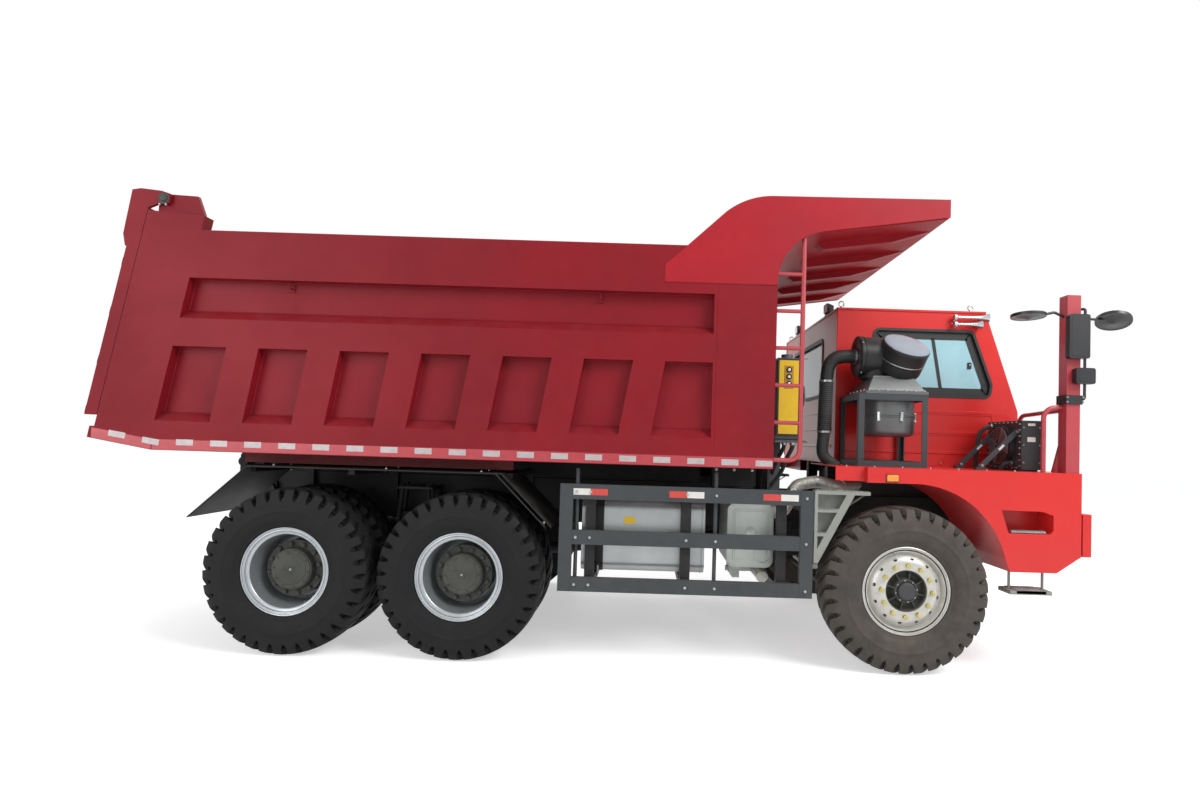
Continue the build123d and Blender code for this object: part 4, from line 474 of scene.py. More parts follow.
# die-cast aluminium for horns and lifting eyes
castAluminium = makeFinish("die_cast_aluminium", "#C4C6C8", "#A9ABAD", 0.28, metallic=0.95, cloud=0.5,
    cloudSize=60, grain=2, relief=0.2, depth=0.1)
# yellow enamel plate on the oil tank, left blank
platePaint = makeFinish("enamel_plate_yellow", "#E3BC1C", "#CFA617", 0.4, cloudSize=140, dust=0.3,
    dustColour="#9A8C6A", dustHigh=0.8, dustTop=3.0, speck=0.35, speckSize=26, speckColour="#7A6430",
    grain=2.5, relief=0.25)
# the same yellow enamel drawn darker on the pad round the filler knobs: painted shade of the recess they sit
# in
plateShaded = makeFinish("enamel_plate_painted_shade", "#B98718", "#94690F", 0.42, cloud=0.7, cloudSize=60, dust=0.3,
    dustHigh=0.8, dustTop=3.0, grain=2.5, relief=0.25)
# pressed plastic film with glass beads: pale patches and red between
tapeWhite = makeFinish("beaded_film_white", "#B9AFB0", "#A29697", 0.32, metallic=0.2, cloud=0.7, cloudSize=40,
    **film)
tapeRed = makeFinish("beaded_film_red", "#B0323C", "#9C2A34", 0.32, metallic=0.1, cloudSize=60, **film)
guardTapeWhite = makeFinish("beaded_film_bright", "#DAD7D2", "#C6C2BC", 0.3, **newFilm)
guardTapeRed = makeFinish("beaded_film_signal_red", "#C93A32", "#B22F2A", 0.3, **newFilm)
# moulded acrylic lamp lenses
amberLens = makeFinish("acrylic_amber", "#E8912A", "#D47E1F", 0.16, **lens)
redLens = makeFinish("acrylic_red", "#B3201E", "#8E1716", 0.16, **lens)
clearLens = makeFinish("polycarbonate_lens", "#D8DCDE", "#B8BDC0", 0.12, metallic=0.4, coat=0.8,
    coatRoughness=0.04, cloudSize=30, grain=6, depth=0.6)
# silvered mirror glass, slightly smeared
mirrorGlass = makeFinish("silvered_glass", "#9FA9B2", "#8E98A2", 0.08, metallic=1.0, cloud=0.5, cloudSize=90,
    roughSpread=0.04, grain=30, relief=0.05)
sealRubber = makeFinish("extruded_seal_rubber", "#141516", "#1B1C1D", 0.5, cloud=0.4, grain=2, relief=0.3,
    depth=0.15)


def makeGlass(name, tint, see):
    # float glass with a light tint; the panes are thin, so it isn't bent through
    material, add, where = newMaterial(name)
    smear = add("ShaderNodeTexNoise", {"Vector": where["Object"], "Scale": 9.0, "Detail": 5.0})
    film = add("ShaderNodeMapRange", {"Value": smear, "From Min": 0.35, "From Max": 0.75, "To Min": 0.03,
        "To Max": 0.16})
    closeMaterial(add, {"Roughness": film, "Base Color": hexToLinear(tint), "IOR": 1.52, "Alpha": see,
        "Coat Weight": 0.5})
    return material


cabGlass = makeGlass("float_glass_tinted", "#B2E0EA", 0.74)


def makeCloth(name, colour, shade):
    # woven polyester seat cover: 2 mm threads crossing, drawn at 5 mm so they show, with a soft sheen
    material, add, where = newMaterial(name)
    weft, warp = [add("ShaderNodeTexWave", {"Vector": where["Object"], "Scale": 60.0, "Distortion": 0.6,
        "Detail": 2.0}, wave_type="BANDS", bands_direction=axis).outputs["Fac"] for axis in ("Z", "Y")]
    cross = add("ShaderNodeMath", {0: weft, 1: warp}, operation="MULTIPLY")
    mixed = add("ShaderNodeMix", {"Factor": cross, "A": hexToLinear(shade), "B": hexToLinear(colour)},
        data_type="RGBA").outputs["Result"]
    relief = add("ShaderNodeBump", {"Height": cross, "Strength": 0.5, "Distance": mm})
    closeMaterial(add, {"Base Color": mixed, "Normal": relief, "Roughness": 0.88, "Sheen Weight": 0.35,
        "Sheen Roughness": 0.4})
    return material


seatCloth = makeCloth("woven_polyester", "#3A3C42", "#25262A")

# what the CAD's own nodes are finished in
# bed_beams take the black frame enamel: painted shade for the dark space under the body
nodeFinish = [(bedPaintShaded, "bed_sides bed_front_wall tailgate"), (bedInside, "bed_floor"), (canopyPaintLit,
    "bed_canopy"), (framePaint,
    "bed_beams rear_mudguards chassis_frame front_axle front_springs bogie_springs"), (framePaint,
    "drive_shafts air_tanks tie_rod hoist_barrel"), (ladderPaint, "bed_ladder deck_rails"), (cabPaint,
    "cab_shell cab_door front_fenders front_bumper"), (guardPaint, "filter_stand side_guards"), (engineIron,
    "drive_axles engine_block"), (laggingFoil, "exhaust_pipe"), (mufflerPaint, "muffler"), (tankMetal,
    "fuel_tank"), (trimPlastic, "battery_box front_grille dashboard"), (cabGlass, "cab_glass"), (cabGlass,
    "door_glass"), (stepPaint, "boarding_steps"), (oilPaint, "hoist_oil_tank"), (seatCloth, "cab_seats"),
    (filterPaint, "air_filter"), (hoseRubber, "intake_pipe"), (coolerPaint, "cooler"), (mirrorPlastic,
    "mirrors"), (castIron, "knuckle_right knuckle_left"), (chromeRod,
    "hoist_stage_1 hoist_stage_2 hoist_stage_3")]
for finish, names in nodeFinish:
    for nodeName in names.split():
        for slot in nodes[nodeName].material_slots:
            slot.material = finish
print("finishes: done")


# sizes and places in metres: name, place, what it is turned to, width and power of each lamp
lightRig = {"sky": 0.6, "floorLift": 0.48, "lamps": [("key", (7.5, -7.0, 8.5), (0.5, -1.0, 1.8), 4.5, 900.0),
    ("fill", (-7.5, -9.0, 4.5), (-1.0, 0, 1.6), 6.0, 330.0), ("rim", (-3.0, 8.5, 7.5), (0, 0, 2.0), 5.0,
    320.0)]}


def seenByEye(add):
    # 1 for rays from the eye and for those off gloss and through glass, 0 for the rest
    ray = add("ShaderNodeLightPath").outputs
    seen = ray["Is Camera Ray"]
    for other in ("Is Glossy Ray", "Is Transmission Ray"):
        seen = add("ShaderNodeMath", {0: seen, 1: ray[other]}, operation="MAXIMUM").outputs[0]
    return seen


def makeStage():
    material, add, where = newMaterial("matt_floor_paint")
    speckle = add("ShaderNodeTexNoise", {"Vector": where["Object"], "Scale": 3.0})
    mixed = add("ShaderNodeMix", {"Factor": speckle, "A": hexToLinear("#EDEDEC"),
        "B": hexToLinear("#F1F1F0")}, data_type="RGBA").outputs["Result"]
    shader = add("ShaderNodeBsdfPrincipled", {"Base Color": mixed, "Roughness": 0.9})
    # a little light of its own lifts the floor to the backdrop's white
    lift = add("ShaderNodeMath", {0: seenByEye(add), 1: lightRig["floorLift"]}, operation="MULTIPLY")
    glow = add("ShaderNodeEmission", {"Color": hexToLinear("#FFFFFF"), "Strength": lift})
    add("ShaderNodeOutputMaterial", {"Surface": add("ShaderNodeAddShader", {0: shader, 1: glow})})
    shape = Shape(material)
    half, thick = 60000, 60
    shape.slab((-half, half), (-half, half), (-thick, 0), edge=0)
    mesh = shape.asMesh("floor")
    mesh.transform(Matrix.Scale(mm, 4))
    mesh.materials.append(material)
    floor = bpy.data.objects.new("floor", mesh)
    scene.collection.objects.link(floor)


def makeLight():
    world = bpy.data.worlds.new("studio")
    world.use_nodes = True
    world.node_tree.nodes.clear()
    add = partial(addNode, world.node_tree)
    plain = add("ShaderNodeBackground", {"Color": hexToLinear("#F4F6F8"), "Strength": lightRig["sky"]})
    white = add("ShaderNodeBackground", {"Color": hexToLinear("#FFFFFF"), "Strength": 1.0})
    both = add("ShaderNodeMixShader", {0: seenByEye(add), 1: plain, 2: white})
    add("ShaderNodeOutputWorld", {"Surface": both})
    scene.world = world
    for name, place, target, size, power in lightRig["lamps"]:
        lamp = bpy.data.lights.new(name, "AREA")
        lamp.size = size
        lamp.energy = power
        holder = bpy.data.objects.new(name, lamp)
        holder.location = place
        holder.rotation_euler = (Vector(target) - Vector(place)).to_track_quat("-Z", "Y").to_euler()
        scene.collection.objects.link(holder)


cameraSet = {"place": (-2142.0, -7100.0, 1801.0), "lens": 20.4, "sensor": 36, "tip": 91.9, "roll": 1.8,
    "shift": (-0.0375, 0.013), "farthest": 200}


def makeCamera():
    data = bpy.data.cameras.new("camera")
    data.lens = cameraSet["lens"]
    data.sensor_width = cameraSet["sensor"]
    data.shift_x, data.shift_y = cameraSet["shift"]
    data.clip_end = cameraSet["farthest"]
    camera = bpy.data.objects.new("camera", data)
    place = Vector((axleX, 0, 0)) + Vector(cameraSet["place"]) * mm
    camera.matrix_world = (Matrix.Translation(place) @ Matrix.Rotation(radians(cameraSet["tip"]), 4,
        "X") @ Matrix.Rotation(radians(cameraSet["roll"]), 4, "Z"))
    scene.collection.objects.link(camera)
    scene.camera = camera


makeStage()
makeLight()
makeCamera()
print("stage: done")


tyre = {
    "blocks": 34,        # tread blocks a side
    "groove": 0.43,      # share of the pitch that the groove takes at the crown
    "slant": 0.9,        # how far a groove leads from shoulder to middle, in pitches
    # from the middle of the tread to the bead: across, radius, groove depth, groove width share
    "section": [
        (0, 670, 0, 1.0), (24, 670, 0, 1.0), (34, 669.5, 36, 0.9), (60, 668.5, 46, 0.95), (95, 666, 48, 1.0),
        (128, 662, 49, 1.04), (150, 657, 49, 1.04), (164, 636, 45, 1.0), (176, 612, 36, 0.92),
        (181, 596, 26, 0.78), (184, 580, 12, 0.5), (186, 566, 0, 0.3), (189, 530, 0, 0.2),
        (190, 497, 0, 0.2), (191.4, 494, 0, 0.2), (191.4, 487, 0, 0.2), (189.6, 484, 0, 0.2),
        (187, 455, 0, 0.2), (180, 422, 0, 0.2), (169, 393, 0, 0.2), (161, 384, 0, 0.2), (159, 372, 0, 0.2),
        (153, 362, 0, 0.2), (137, 358, 0, 0.2), (137, 322, 0, 0.2),
    ],
    # where the lines across the tread stand in one pitch
    "columns": (0.0, 0.095, 0.145, 0.25, 0.355, 0.405, 0.5, 0.595, 0.645, 0.75, 0.855, 0.905),
    "width": 384,        # over the sidewalls
}


def tyreSlice(finish):
    # one pitch of the tyre, with half a groove pair; the round tree closes it
    pitch = 2 * pi / tyre["blocks"]
    stations = [(-a, r, d, w, -1) for a, r, d, w in reversed(tyre["section"][1:])]
    stations += [(a, r, d, w, 1) for a, r, d, w in tyre["section"]]
    shape = Shape(finish)
    columns = []
    for place in (*tyre["columns"], 1.0):
        ring = []
        for across, radius, depth, width, side in stations:
            middle = 0.25 if side > 0 else 0.75
            off = (place - middle + 0.5) % 1.0 - 0.5
            moved = middle + off * width * tyre["groove"] / 0.31 if abs(off) < 0.165 else place
            lead = -side * tyre["slant"] * (min(abs(across), 150) / 150) ** 1.6
            angle = (moved + lead) * pitch
            deep = depth if abs(off) < 0.12 else 0
            # the groove is cut straight in, and on the sidewall towards the middle plane
            r = radius - deep * (0.55 + 0.45 * min(1, max(0, (radius - 575) / 85)))
            a = across - side * deep * (0.55 if radius < 650 else 0.0)
            ring.append((r * sin(angle), a, r * cos(angle)))
        columns.append(ring)
    shape.faces(columns)
    return shape


def wheelSets():
    # each set's axle, side, name and ending, and where its wheels stand: the outer one, then the inner
    for axle, ending in (("front", ""), ("mid", "s"), ("rear", "s")):
        for sideName, side in (("right", -1), ("left", 1)):
            low, high = boxOf(f"{axle}_{sideName}_tyre{ending}")
            x, inset = (low.x + high.x) / 2, tyre["width"] / 2
            ys = [high.y - inset, low.y + inset][::side]
            yield axle, side, f"{axle}_{sideName}", ending, x, ys if ending else ys[:1]


for axle, side, name, ending, x, ys in wheelSets():
    # the rear tyres take the rubber darkened as painted shade, the steered ones the paler copy with painted
    # sunlight
    rubber = tyreRubberShaded if ending else tyreDustyLit
    shape = Shape(rubber)
    for y in ys:
        shape.ring(tyreSlice(rubber), tyre["blocks"], join=0.05, turn=Matrix.Translation((x, y, axleZ)))
    bmesh.ops.recalc_face_normals(shape.bm, faces=shape.bm.faces[:])
    finishPiece(shape, "tread_" + name, f"{name}_wheel{ending}", [f"{name}_tyre{ending}"],
        angle=28)
print("tyres: done")


frontRim = {
    # outline of the pressed wheel: (out from the tyre's middle plane, radius)
    "outline": [
        (-152, 355), (-137, 355), (-137, 319), (137, 319), (137, 352), (143, 355), (149, 355), (152, 350),
        (151, 345), (143, 341), (141, 334), (134, 329), (129, 326), (128, 316), (122, 311), (104, 305),
        (98, 300), (101, 293), (112, 286), (130, 268), (142, 250), (149, 232), (151, 214), (151, 176),
        (148, 168), (138, 166), (129, 166), (129, 214), (121, 250), (106, 268), (84, 282), (70, 296),
        (-152, 296),
    ],
    "nuts": 12, "nutCircle": 205, "nutSize": 37 / 1.1, "nutHeight": 26,
    "holes": 12, "holeCircle": 262, "holeSize": 14,
    "ribs": 8, "hubRadius": 165, "capRadius": 72, "collarRadius": 99,
}
rearRim = {"outline": [(-152, 355), (-137, 355), (-137, 319), (137, 319), (137, 352), (143, 355), (149, 355),
    (152, 350), (150, 344), (142, 341), (139, 336), (140, 331), (138, 326), (129, 322), (126, 314),
    (124, 303), (118, 297), (70, 295), (-150, 292), (-183, 284), (-197, 268), (-204, 246), (-205, 180),
    (-226, 180), (-226, 250), (-214, 280), (-190, 300), (-152, 306)], "flangeOut": 1424, "flangeRadius": 234,
    "coverOut": 1500, "coverRadius": 162, "nuts": 12, "nutCircle": 203, "nutSize": 37 / 1.1, "nutHeight": 26,
    "coverBolts": 10, "coverCircle": 140}


def frontWheelShape():
    # drawn for a left wheel about its own axle, y pointing out
    spec = frontRim
    shape = Shape(wheelPale)
    shape.lathe(spec["outline"], count=96)
    # lock ring seam and a valve
    shape.lathe([(139, 337), (144, 340), (144, 334), (140, 333)], count=96)
    shape.pipe([(0, 132, 318), (0, 150, 312), (0, 166, 300)], 5, zincBright, count=10)
    nut = Shape(zincYellow)
    nut.hexHead((0, 151, spec["nutCircle"]), (0, 1, 0), spec["nutSize"], spec["nutHeight"], zincYellow)
    shape.ring(nut, spec["nuts"], start=0.13)
    # cooling holes are drawn as near-black rubber discs set into the dish: painted shade where the holes open
    # into the dark inside
    hole = Shape(sealRubber)
    size = spec["holeSize"]
    dish = Vector((0, 0.72, 0.69))
    centre = Vector((0, 137.5, spec["holeCircle"]))
    hole.disc(centre - dish * 3, dish, [(0, 0), (0, size), (2.5, size), (2.8, size - 1.5), (1.0, size - 3.5),
        (1.0, 0)], 18)
    shape.ring(hole, spec["holes"])
    # cast hub in the middle with its ribs and cap
    hub = spec["hubRadius"]
    shape.disc((0, 0, 0), (0, 1, 0), [(-145, 61), (-145, 238), (40, 238), (60, hub + 6), (128, hub + 6),
        (138, hub), (138, hub - 6), (92, hub - 14), (84, hub - 24), (82, 112), (96, spec["collarRadius"]),
        (140, 96), (147, 92), (147, 82), (140, 78), (139, 0)], 64, finish=castIron)
    rib = Shape(castIron)
    rib.faces([[(-5, 80, 100), (5, 80, 100), (5, 80, hub - 12), (-5, 80, hub - 12)], [(-4, 142, 88), (4, 142,
        88), (4, 128, hub - 8), (-4, 128, hub - 8)]], caps=True)
    rib.soften(rib.bm.faces[:], 1.5)
    shape.ring(rib, spec["ribs"], start=0.2)
    cap = spec["capRadius"]
    shape.disc((0, 0, 0), (0, 1, 0), [(136, 0), (136, cap), (160, cap), (168, cap - 3), (172, cap - 9),
        (173, cap - 20), (175, cap - 40), (176, 0)], 48, finish=engineIron)
    bolt = Shape(zincBright)
    bolt.hexHead((0, 146, 86), (0, 1, 0), 9, 5)
    shape.ring(bolt, 8, start=0.6)
    return shape


def rearWheelShape(outerY, innerY):
    # drawn for a left pair in the truck's own y, about the axle
    spec = rearRim
    shape = Shape(wheelSilver)
    shape.lathe([(outerY + a, r) for a, r in spec["outline"]], count=96)
    shape.lathe([(innerY - a, r) for a, r in spec["outline"]], count=72)
    out, cover = spec["flangeOut"], spec["coverOut"]
    deep = outerY - 226
    shape.disc((0, 0, 0), (0, 1, 0), [(985, 61), (985, 240), (1193, 240), (1193, 228), (deep, 228),
        (deep + 24, 230), (out - 70, 222), (out - 34, 226), (out - 28, spec["flangeRadius"]), (out - 3,
        spec["flangeRadius"]), (out, spec["flangeRadius"] - 3), (out, 178), (out + 6, 174), (out + 22, 171),
        (cover - 26, 169), (cover - 14, spec["coverRadius"] + 3), (cover - 12, spec["coverRadius"] - 4),
        (cover - 5, spec["coverRadius"] - 8), (cover - 4, 124), (cover - 1, 121), (cover, 112), (cover, 34),
        (cover + 4, 31), (cover + 4, 24), (cover, 21), (cover, 0)], 80, finish=castIron)
    nut = Shape(castIron)
    nut.hexHead((0, out, spec["nutCircle"]), (0, 1, 0), spec["nutSize"], spec["nutHeight"], castIron)
    shape.ring(nut, spec["nuts"], start=0.1)
    bolt = Shape(engineIron)
    bolt.hexHead((0, cover - 5, spec["coverCircle"]), (0, 1, 0), 10, 7, engineIron)
    shape.ring(bolt, spec["coverBolts"], start=0.25)
    shape.hexHead((0, cover, 0), (0, 1, 0), 15, 9)
    # the flat oil level boss beside the centre
    shape.disc((46, cover - 2, 38), (0, 1, 0), [(0, 0), (0, 13), (6, 13), (8, 10), (8, 0)], 16,
        finish=engineIron)
    shape.pipe([(0, outerY + 118, -302), (10, outerY + 96, -286), (16, outerY + 60, -284)], 5, zincBright,
        count=8)
    # plates between the twin rims
    lug = Shape(wheelSilver)
    lug.slab((-22, 22), (innerY + 150, outerY - 150), (296, 304), edge=2)
    shape.ring(lug, 6, start=0.5)
    return shape


def wheelMove(x, side, y, spin):
    # from the drawing, whose y points out on the left, to either side of the truck
    turn = Matrix() if side > 0 else Matrix.Rotation(pi, 4, "Z")
    return Matrix.Translation((x, side * y, axleZ)) @ turn @ Matrix.Rotation(spin, 4, "Y")


spins = {"front": 0.35, "mid": 0.12, "rear": 0.6}
for axle, side, name, ending, x, ys in wheelSets():
    if ending:
        shape, y = rearWheelShape(*map(abs, ys)), 0
    else:
        shape, y = frontWheelShape(), abs(ys[0])
    finishPiece(shape, "wheel_" + name, f"{name}_wheel{ending}", [f"{name}_rim{ending}"],
        angle=30, move=wheelMove(x, side, y, spins[axle]))
print("wheels: done")


bed = {"outerY": 1610, "recessY": 1520, "frontX": -1097, "tailX": -6638, "kinkX": -6117, "ribFirstX": -5553,
    "ribPitch": 660, "ribWidth": 262, "ribCount": 6, "ribLean": 0.17, "lowerLedgeZ": 1851,
    "middleRailZ": 2462, "upperLedgeZ": 2690, "bandZ": 3023, "ledgeRise": 70, "frontPostX": -1607,
    "railZ": 3415, "seamZ": 3109, "gussetX": -2019, "stripZ": (1619, 1702), "patch": (137, 48),
    "patchPitch": 275, "patchCount": 20, "hooks": [(-5084, 2976), (-2539, 2967)]}


def postRearX(z):
    return -6601 + (z - 1702) * 0.19


def postFrontX(z):
    return postRearX(z) + 470


def weld(shape, start, end, size=6, step=22, finish=None):
    # a bead whose ripples stand a torch's step apart
    start, end = Vector(start), Vector(end)
    count = max(3, int((end - start).length / step))
    ahead, side, up = axes(end - start)
    rings = []
    for i in range(count + 1):
        r = size * (1.12 if i % 2 else 0.88) * random.uniform(0.93, 1.07)
        rings.append(circle(start.lerp(end, i / count), side * r, up * r, 6))
    shape.faces(rings, finish, caps=True)


def bedWelds():
    shape = Shape(bedPaintShaded)
    low, high = bed["lowerLedgeZ"] + bed["ledgeRise"], bed["middleRailZ"]
    top, ledge = bed["bandZ"] - 2, bed["upperLedgeZ"] + bed["ledgeRise"] + 3
    post, gusset, seam = bed["frontPostX"], bed["gussetX"], bed["seamZ"]
    lean = (high - low) * bed["ribLean"]
    bead = lambda y, x0, z0, x1, z1, size=6: weld(shape, (x0, y, z0), (x1, y, z1), size)
    for side in (-1, 1):
        y = side * (bed["recessY"] + 1)
        edges = [(postFrontX(low) + 2, postFrontX(high) + 2)]
        for i in range(bed["ribCount"]):
            right = bed["ribFirstX"] + i * bed["ribPitch"]
            left = right + bed["ribWidth"]
            edges += [(right - lean - 2, right - 2), (left - lean + 2, left + 2)]
        edges.append((post - 2, post - 2))
        for lowX, highX in edges:
            bead(y, lowX, low, highX, high)
        for (lowA, highA), (lowB, highB) in zip(edges[::2], edges[1::2]):
            bead(y, highA, high - 2, highB, high - 2)
            bead(y, lowA, low + 3, lowB, low + 3)
        bead(y, postFrontX(top), top, post, top)
        bead(y, postFrontX(ledge), ledge, post, ledge)
        bead(y, postFrontX(ledge) + 2, ledge, postFrontX(top) + 2, top)
        # the gusset's seam and the doubler plates' edges on the rail
        y = side * (bed["outerY"] - 1)
        bead(y, gusset, seam, bed["frontX"] - 4, seam, 5)
        bead(y, gusset, seam, gusset, seam + 148, 5)
        bead(y, gusset, seam + 150, gusset + 178, bed["railZ"], 5)
        bead(y, post + 30, bed["stripZ"][1] + 40, post + 30, seam - 8, 4)
    finishPiece(shape, "bed_welds", "bed", angle=50)


def bedStrip():
    # red film along the bottom edge with beaded patches on it
    shape = Shape(tapeRed)
    (low, high), (wide, tall) = bed["stripZ"], bed["patch"]
    front, kink, tail = bed["frontX"] - 5, bed["kinkX"], bed["tailX"]
    rise = (high - low + 3) / (kink - tail)
    lift = rise * (kink - tail - 36)
    for side in (-1, 1):
        ys = (side * (bed["outerY"] - 1), side * (bed["outerY"] + 1.6))
        shape.slab((front, kink + 6), ys, (low, high), edge=0.6)
        shape.plate([(kink - 2, low), (kink - 2, high), (tail + 34, high + lift), (tail + 34, low + lift)],
            ys, edge=0.6)
        for k in range(bed["patchCount"]):
            x = -1172 - k * bed["patchPitch"]
            tip = rise if x < kink else 0.0
            z = 1634 + (front - x) * 0.0052 + (kink - x) * tip
            turn = Matrix.Translation((x, side * (bed["outerY"] + 1.2),
                z + tall / 2)) @ Matrix.Rotation(atan(tip), 4, "Y")
            shape.slab((-wide / 2, wide / 2), (-1, 1.6), (-tall / 2, tall / 2), tapeWhite, 0.5, turn)
    finishPiece(shape, "bed_reflective_strip", "bed")


def bedHooks():
    # tarpaulin hooks on the pocket's back, one bent rod on a pad
    shape = Shape(bedPaintShaded)
    for side in (-1, 1):
        for x, z in bed["hooks"]:
            y = side * bed["recessY"]
            shape.slab((x - 26, x + 26), (y, y + side * 8), (z - 30, z + 22), edge=2)
            shape.pipe([(x, y + side * out, z + up) for out, up in ((6, -6), (34, -8), (46, 12), (46, 42))],
                6.5, count=10)
            weld(shape, (x - 26, y + side * 5, z - 31), (x + 26, y + side * 5, z - 31), 3.5, 10)
    finishPiece(shape, "bed_hooks", "bed")


def bedLiners():
    # wear plates on the floor, plug welded in rows, and a kick strip up each wall
    shape = Shape(bedInside)
    top, first, last, rows = 1720, -6040, -1575, 5
    long = (last - first) / rows
    for k in range(rows):
        x = first + k * long
        for low, high in ((-1480, -500), (-494, 494), (500, 1480)):
            shape.slab((x + 4, x + long - 4), (low, high), (top - 1, top + 8), edge=2)
            for y in (low + 120, (low + high) / 2, high - 120):
                plug = Shape(bedInside)
                plug.disc((x + 120, y, top + 7.5), (0, 0, 1), [(0, 0), (0, 16), (2.5, 13), (3, 5), (3, 0)],
                    10)
                shape.row(plug, 4, ((long - 240) / 3, 0, 0))
    for y in (-1490, 1490):
        shape.plate([(-6040, top), (-6000, 1900), (-1170, 1900), (-1170, top)], (y, y - copysign(8, y)))
    finishPiece(shape, "bed_liner_plates", "bed")


canopy = {"tip": (301, 3711), "fall": 0.141, "rear": -680, "ribs": (-1200, -600, 0, 600, 1200), "ribHalf": 46}


def canopyTrim():
    # beads where the ribs meet the sheet, and the folded nose
    shape = Shape(canopyPaintLit)
    under = lambda x, y, gap: (x, y, canopy["tip"][1] - (canopy["tip"][0] - x) * canopy["fall"] - gap)
    for y in canopy["ribs"]:
        for edge in (y - canopy["ribHalf"], y + canopy["ribHalf"]):
            weld(shape, under(canopy["rear"], edge, 1), under(-30, edge, 1), 4.5)
    for edge in (-1593, 1593):
        weld(shape, under(canopy["rear"], edge, 3), under(285, edge, 3), 4.5)
    finishPiece(shape, "canopy_welds", "bed", angle=50)


random.seed(11)
bedWelds()
bedStrip()
bedHooks()
bedLiners()
canopyTrim()
print("bed details: done")


gate = {"pin": (-6127, 1605, 3668), "ribs": 5, "firstRib": 1934, "ribPitch": 402.75, "ribHalf": 46}


def gateDetails():
    shape = Shape(castIron)
    x, y, z = gate["pin"]
    for side in (-1, 1):
        shape.disc((x, side * y, z), (0, side, 0), [(-3, 0), (-3, 46), (3, 46), (3, 30), (16, 28), (20, 22),
            (20, 0)], 28)
        for dx in (-26, 26):
            shape.hexHead((x + dx, side * (y + 2), z - 52), (0, side, 0), 12, 9)
    # beads between the panel and its ribs
    for i in range(gate["ribs"]):
        for edge in (-gate["ribHalf"], gate["ribHalf"]):
            z = gate["firstRib"] + i * gate["ribPitch"] + edge
            weld(shape, (postRearX(z) - 35, -1540, z), (postRearX(z) - 35, 1540, z), 4.5, 30, bedPaintShaded)
    finishPiece(shape, "tailgate_details", "gate", angle=50)


gateDetails()
print("tailgate details: done")


tank = {"x": (-2640, -1615), "y": (-1420, -760), "z": (720, 1325), "corner": 95, "straps": [(-2538, -2455),
    (-1820, -1737)], "cap": (-2130, -1040), "label": (-2290, 1120, 92, 58)}


def roundedEnd(ys, zs, corner, count=7):
    # the outline of a rounded box end in y and z
    points = []
    for cy, cz, first in ((ys[1] - corner, zs[1] - corner, 0), (ys[0] + corner, zs[1] - corner, 90),
            (ys[0] + corner, zs[0] + corner, 180), (ys[1] - corner, zs[0] + corner, 270)):
        for i in range(count + 1):
            t = radians(first + 90 * i / count)
            points.append((cy + corner * cos(t), cz + corner * sin(t)))
    return points


def tankOutline(by):
    (y0, y1), (z0, z1) = tank["y"], tank["z"]
    return roundedEnd((y0 - by, y1 + by), (z0 - by, z1 + by), tank["corner"] + by)


def tankFittings():
    shape = Shape(zincBright)
    ys, zs = tank["y"], tank["z"]
    for low, high in tank["straps"]:
        # a steel band drawn over rubber
        for grow, inset, finish in ((2.5, 0, sealRubber), (6.5, 8, framePaint)):
            a, b = low + inset, high - inset
            shape.faces([[(a, *far), (b, *far), (b, *near), (a, *near)] for far,
                near in zip(tankOutline(grow), tankOutline(-1))], finish, closeAlong=True)
        middle = (low + high) / 2
        shape.rod((middle, ys[0] - 14, zs[0] + 60), (middle, ys[0] - 14, zs[0] - 30), 7)
        shape.hexHead((middle, ys[0] - 14, zs[0] + 20), (0, 0, -1), 18, 14)
        shape.slab((middle - 16, middle + 16), (ys[0] - 24, ys[0] - 4), (zs[0] + 52, zs[0] + 72), framePaint,
            edge=2)
    x, y = tank["cap"]
    shape.disc((x, y, zs[1]), (0, 0, 1), [(-4, 0), (-4, 58), (8, 58), (12, 50), (26, 50), (30, 46), (32, 20),
        (32, 0)], 36)
    shape.slab((x - 6, x + 6), (y - 40, y + 40), (zs[1] + 31, zs[1] + 44), edge=2)
    # end seams and the sender's plate
    for x in (tank["x"][0] + 26, tank["x"][1] - 26):
        outer = tankOutline(2.5)
        for a, b in zip(outer, outer[1:] + outer[:1]):
            weld(shape, (x, *a), (x, *b), 3.2, 12, finish=tankMetal)
    x, z, wide, tall = tank["label"]
    shape.slab((x, x + wide), (ys[0] - 2, ys[0] + 1), (z, z + tall), platePaint, edge=0.8)
    shape.disc((tank["x"][1] - 180, ys[0] + 200, zs[1]), (0, 0, 1), [(-3, 0), (-3, 44), (5, 44), (6, 30),
        (12, 28), (12, 0)], 24)
    finishPiece(shape, "tank_straps_and_cap", "chassis", angle=40)


tankFittings()

muffler = {"x": (-1425, -1040), "y": (-1385, -800), "z": (785, 1315), "panel": 46}


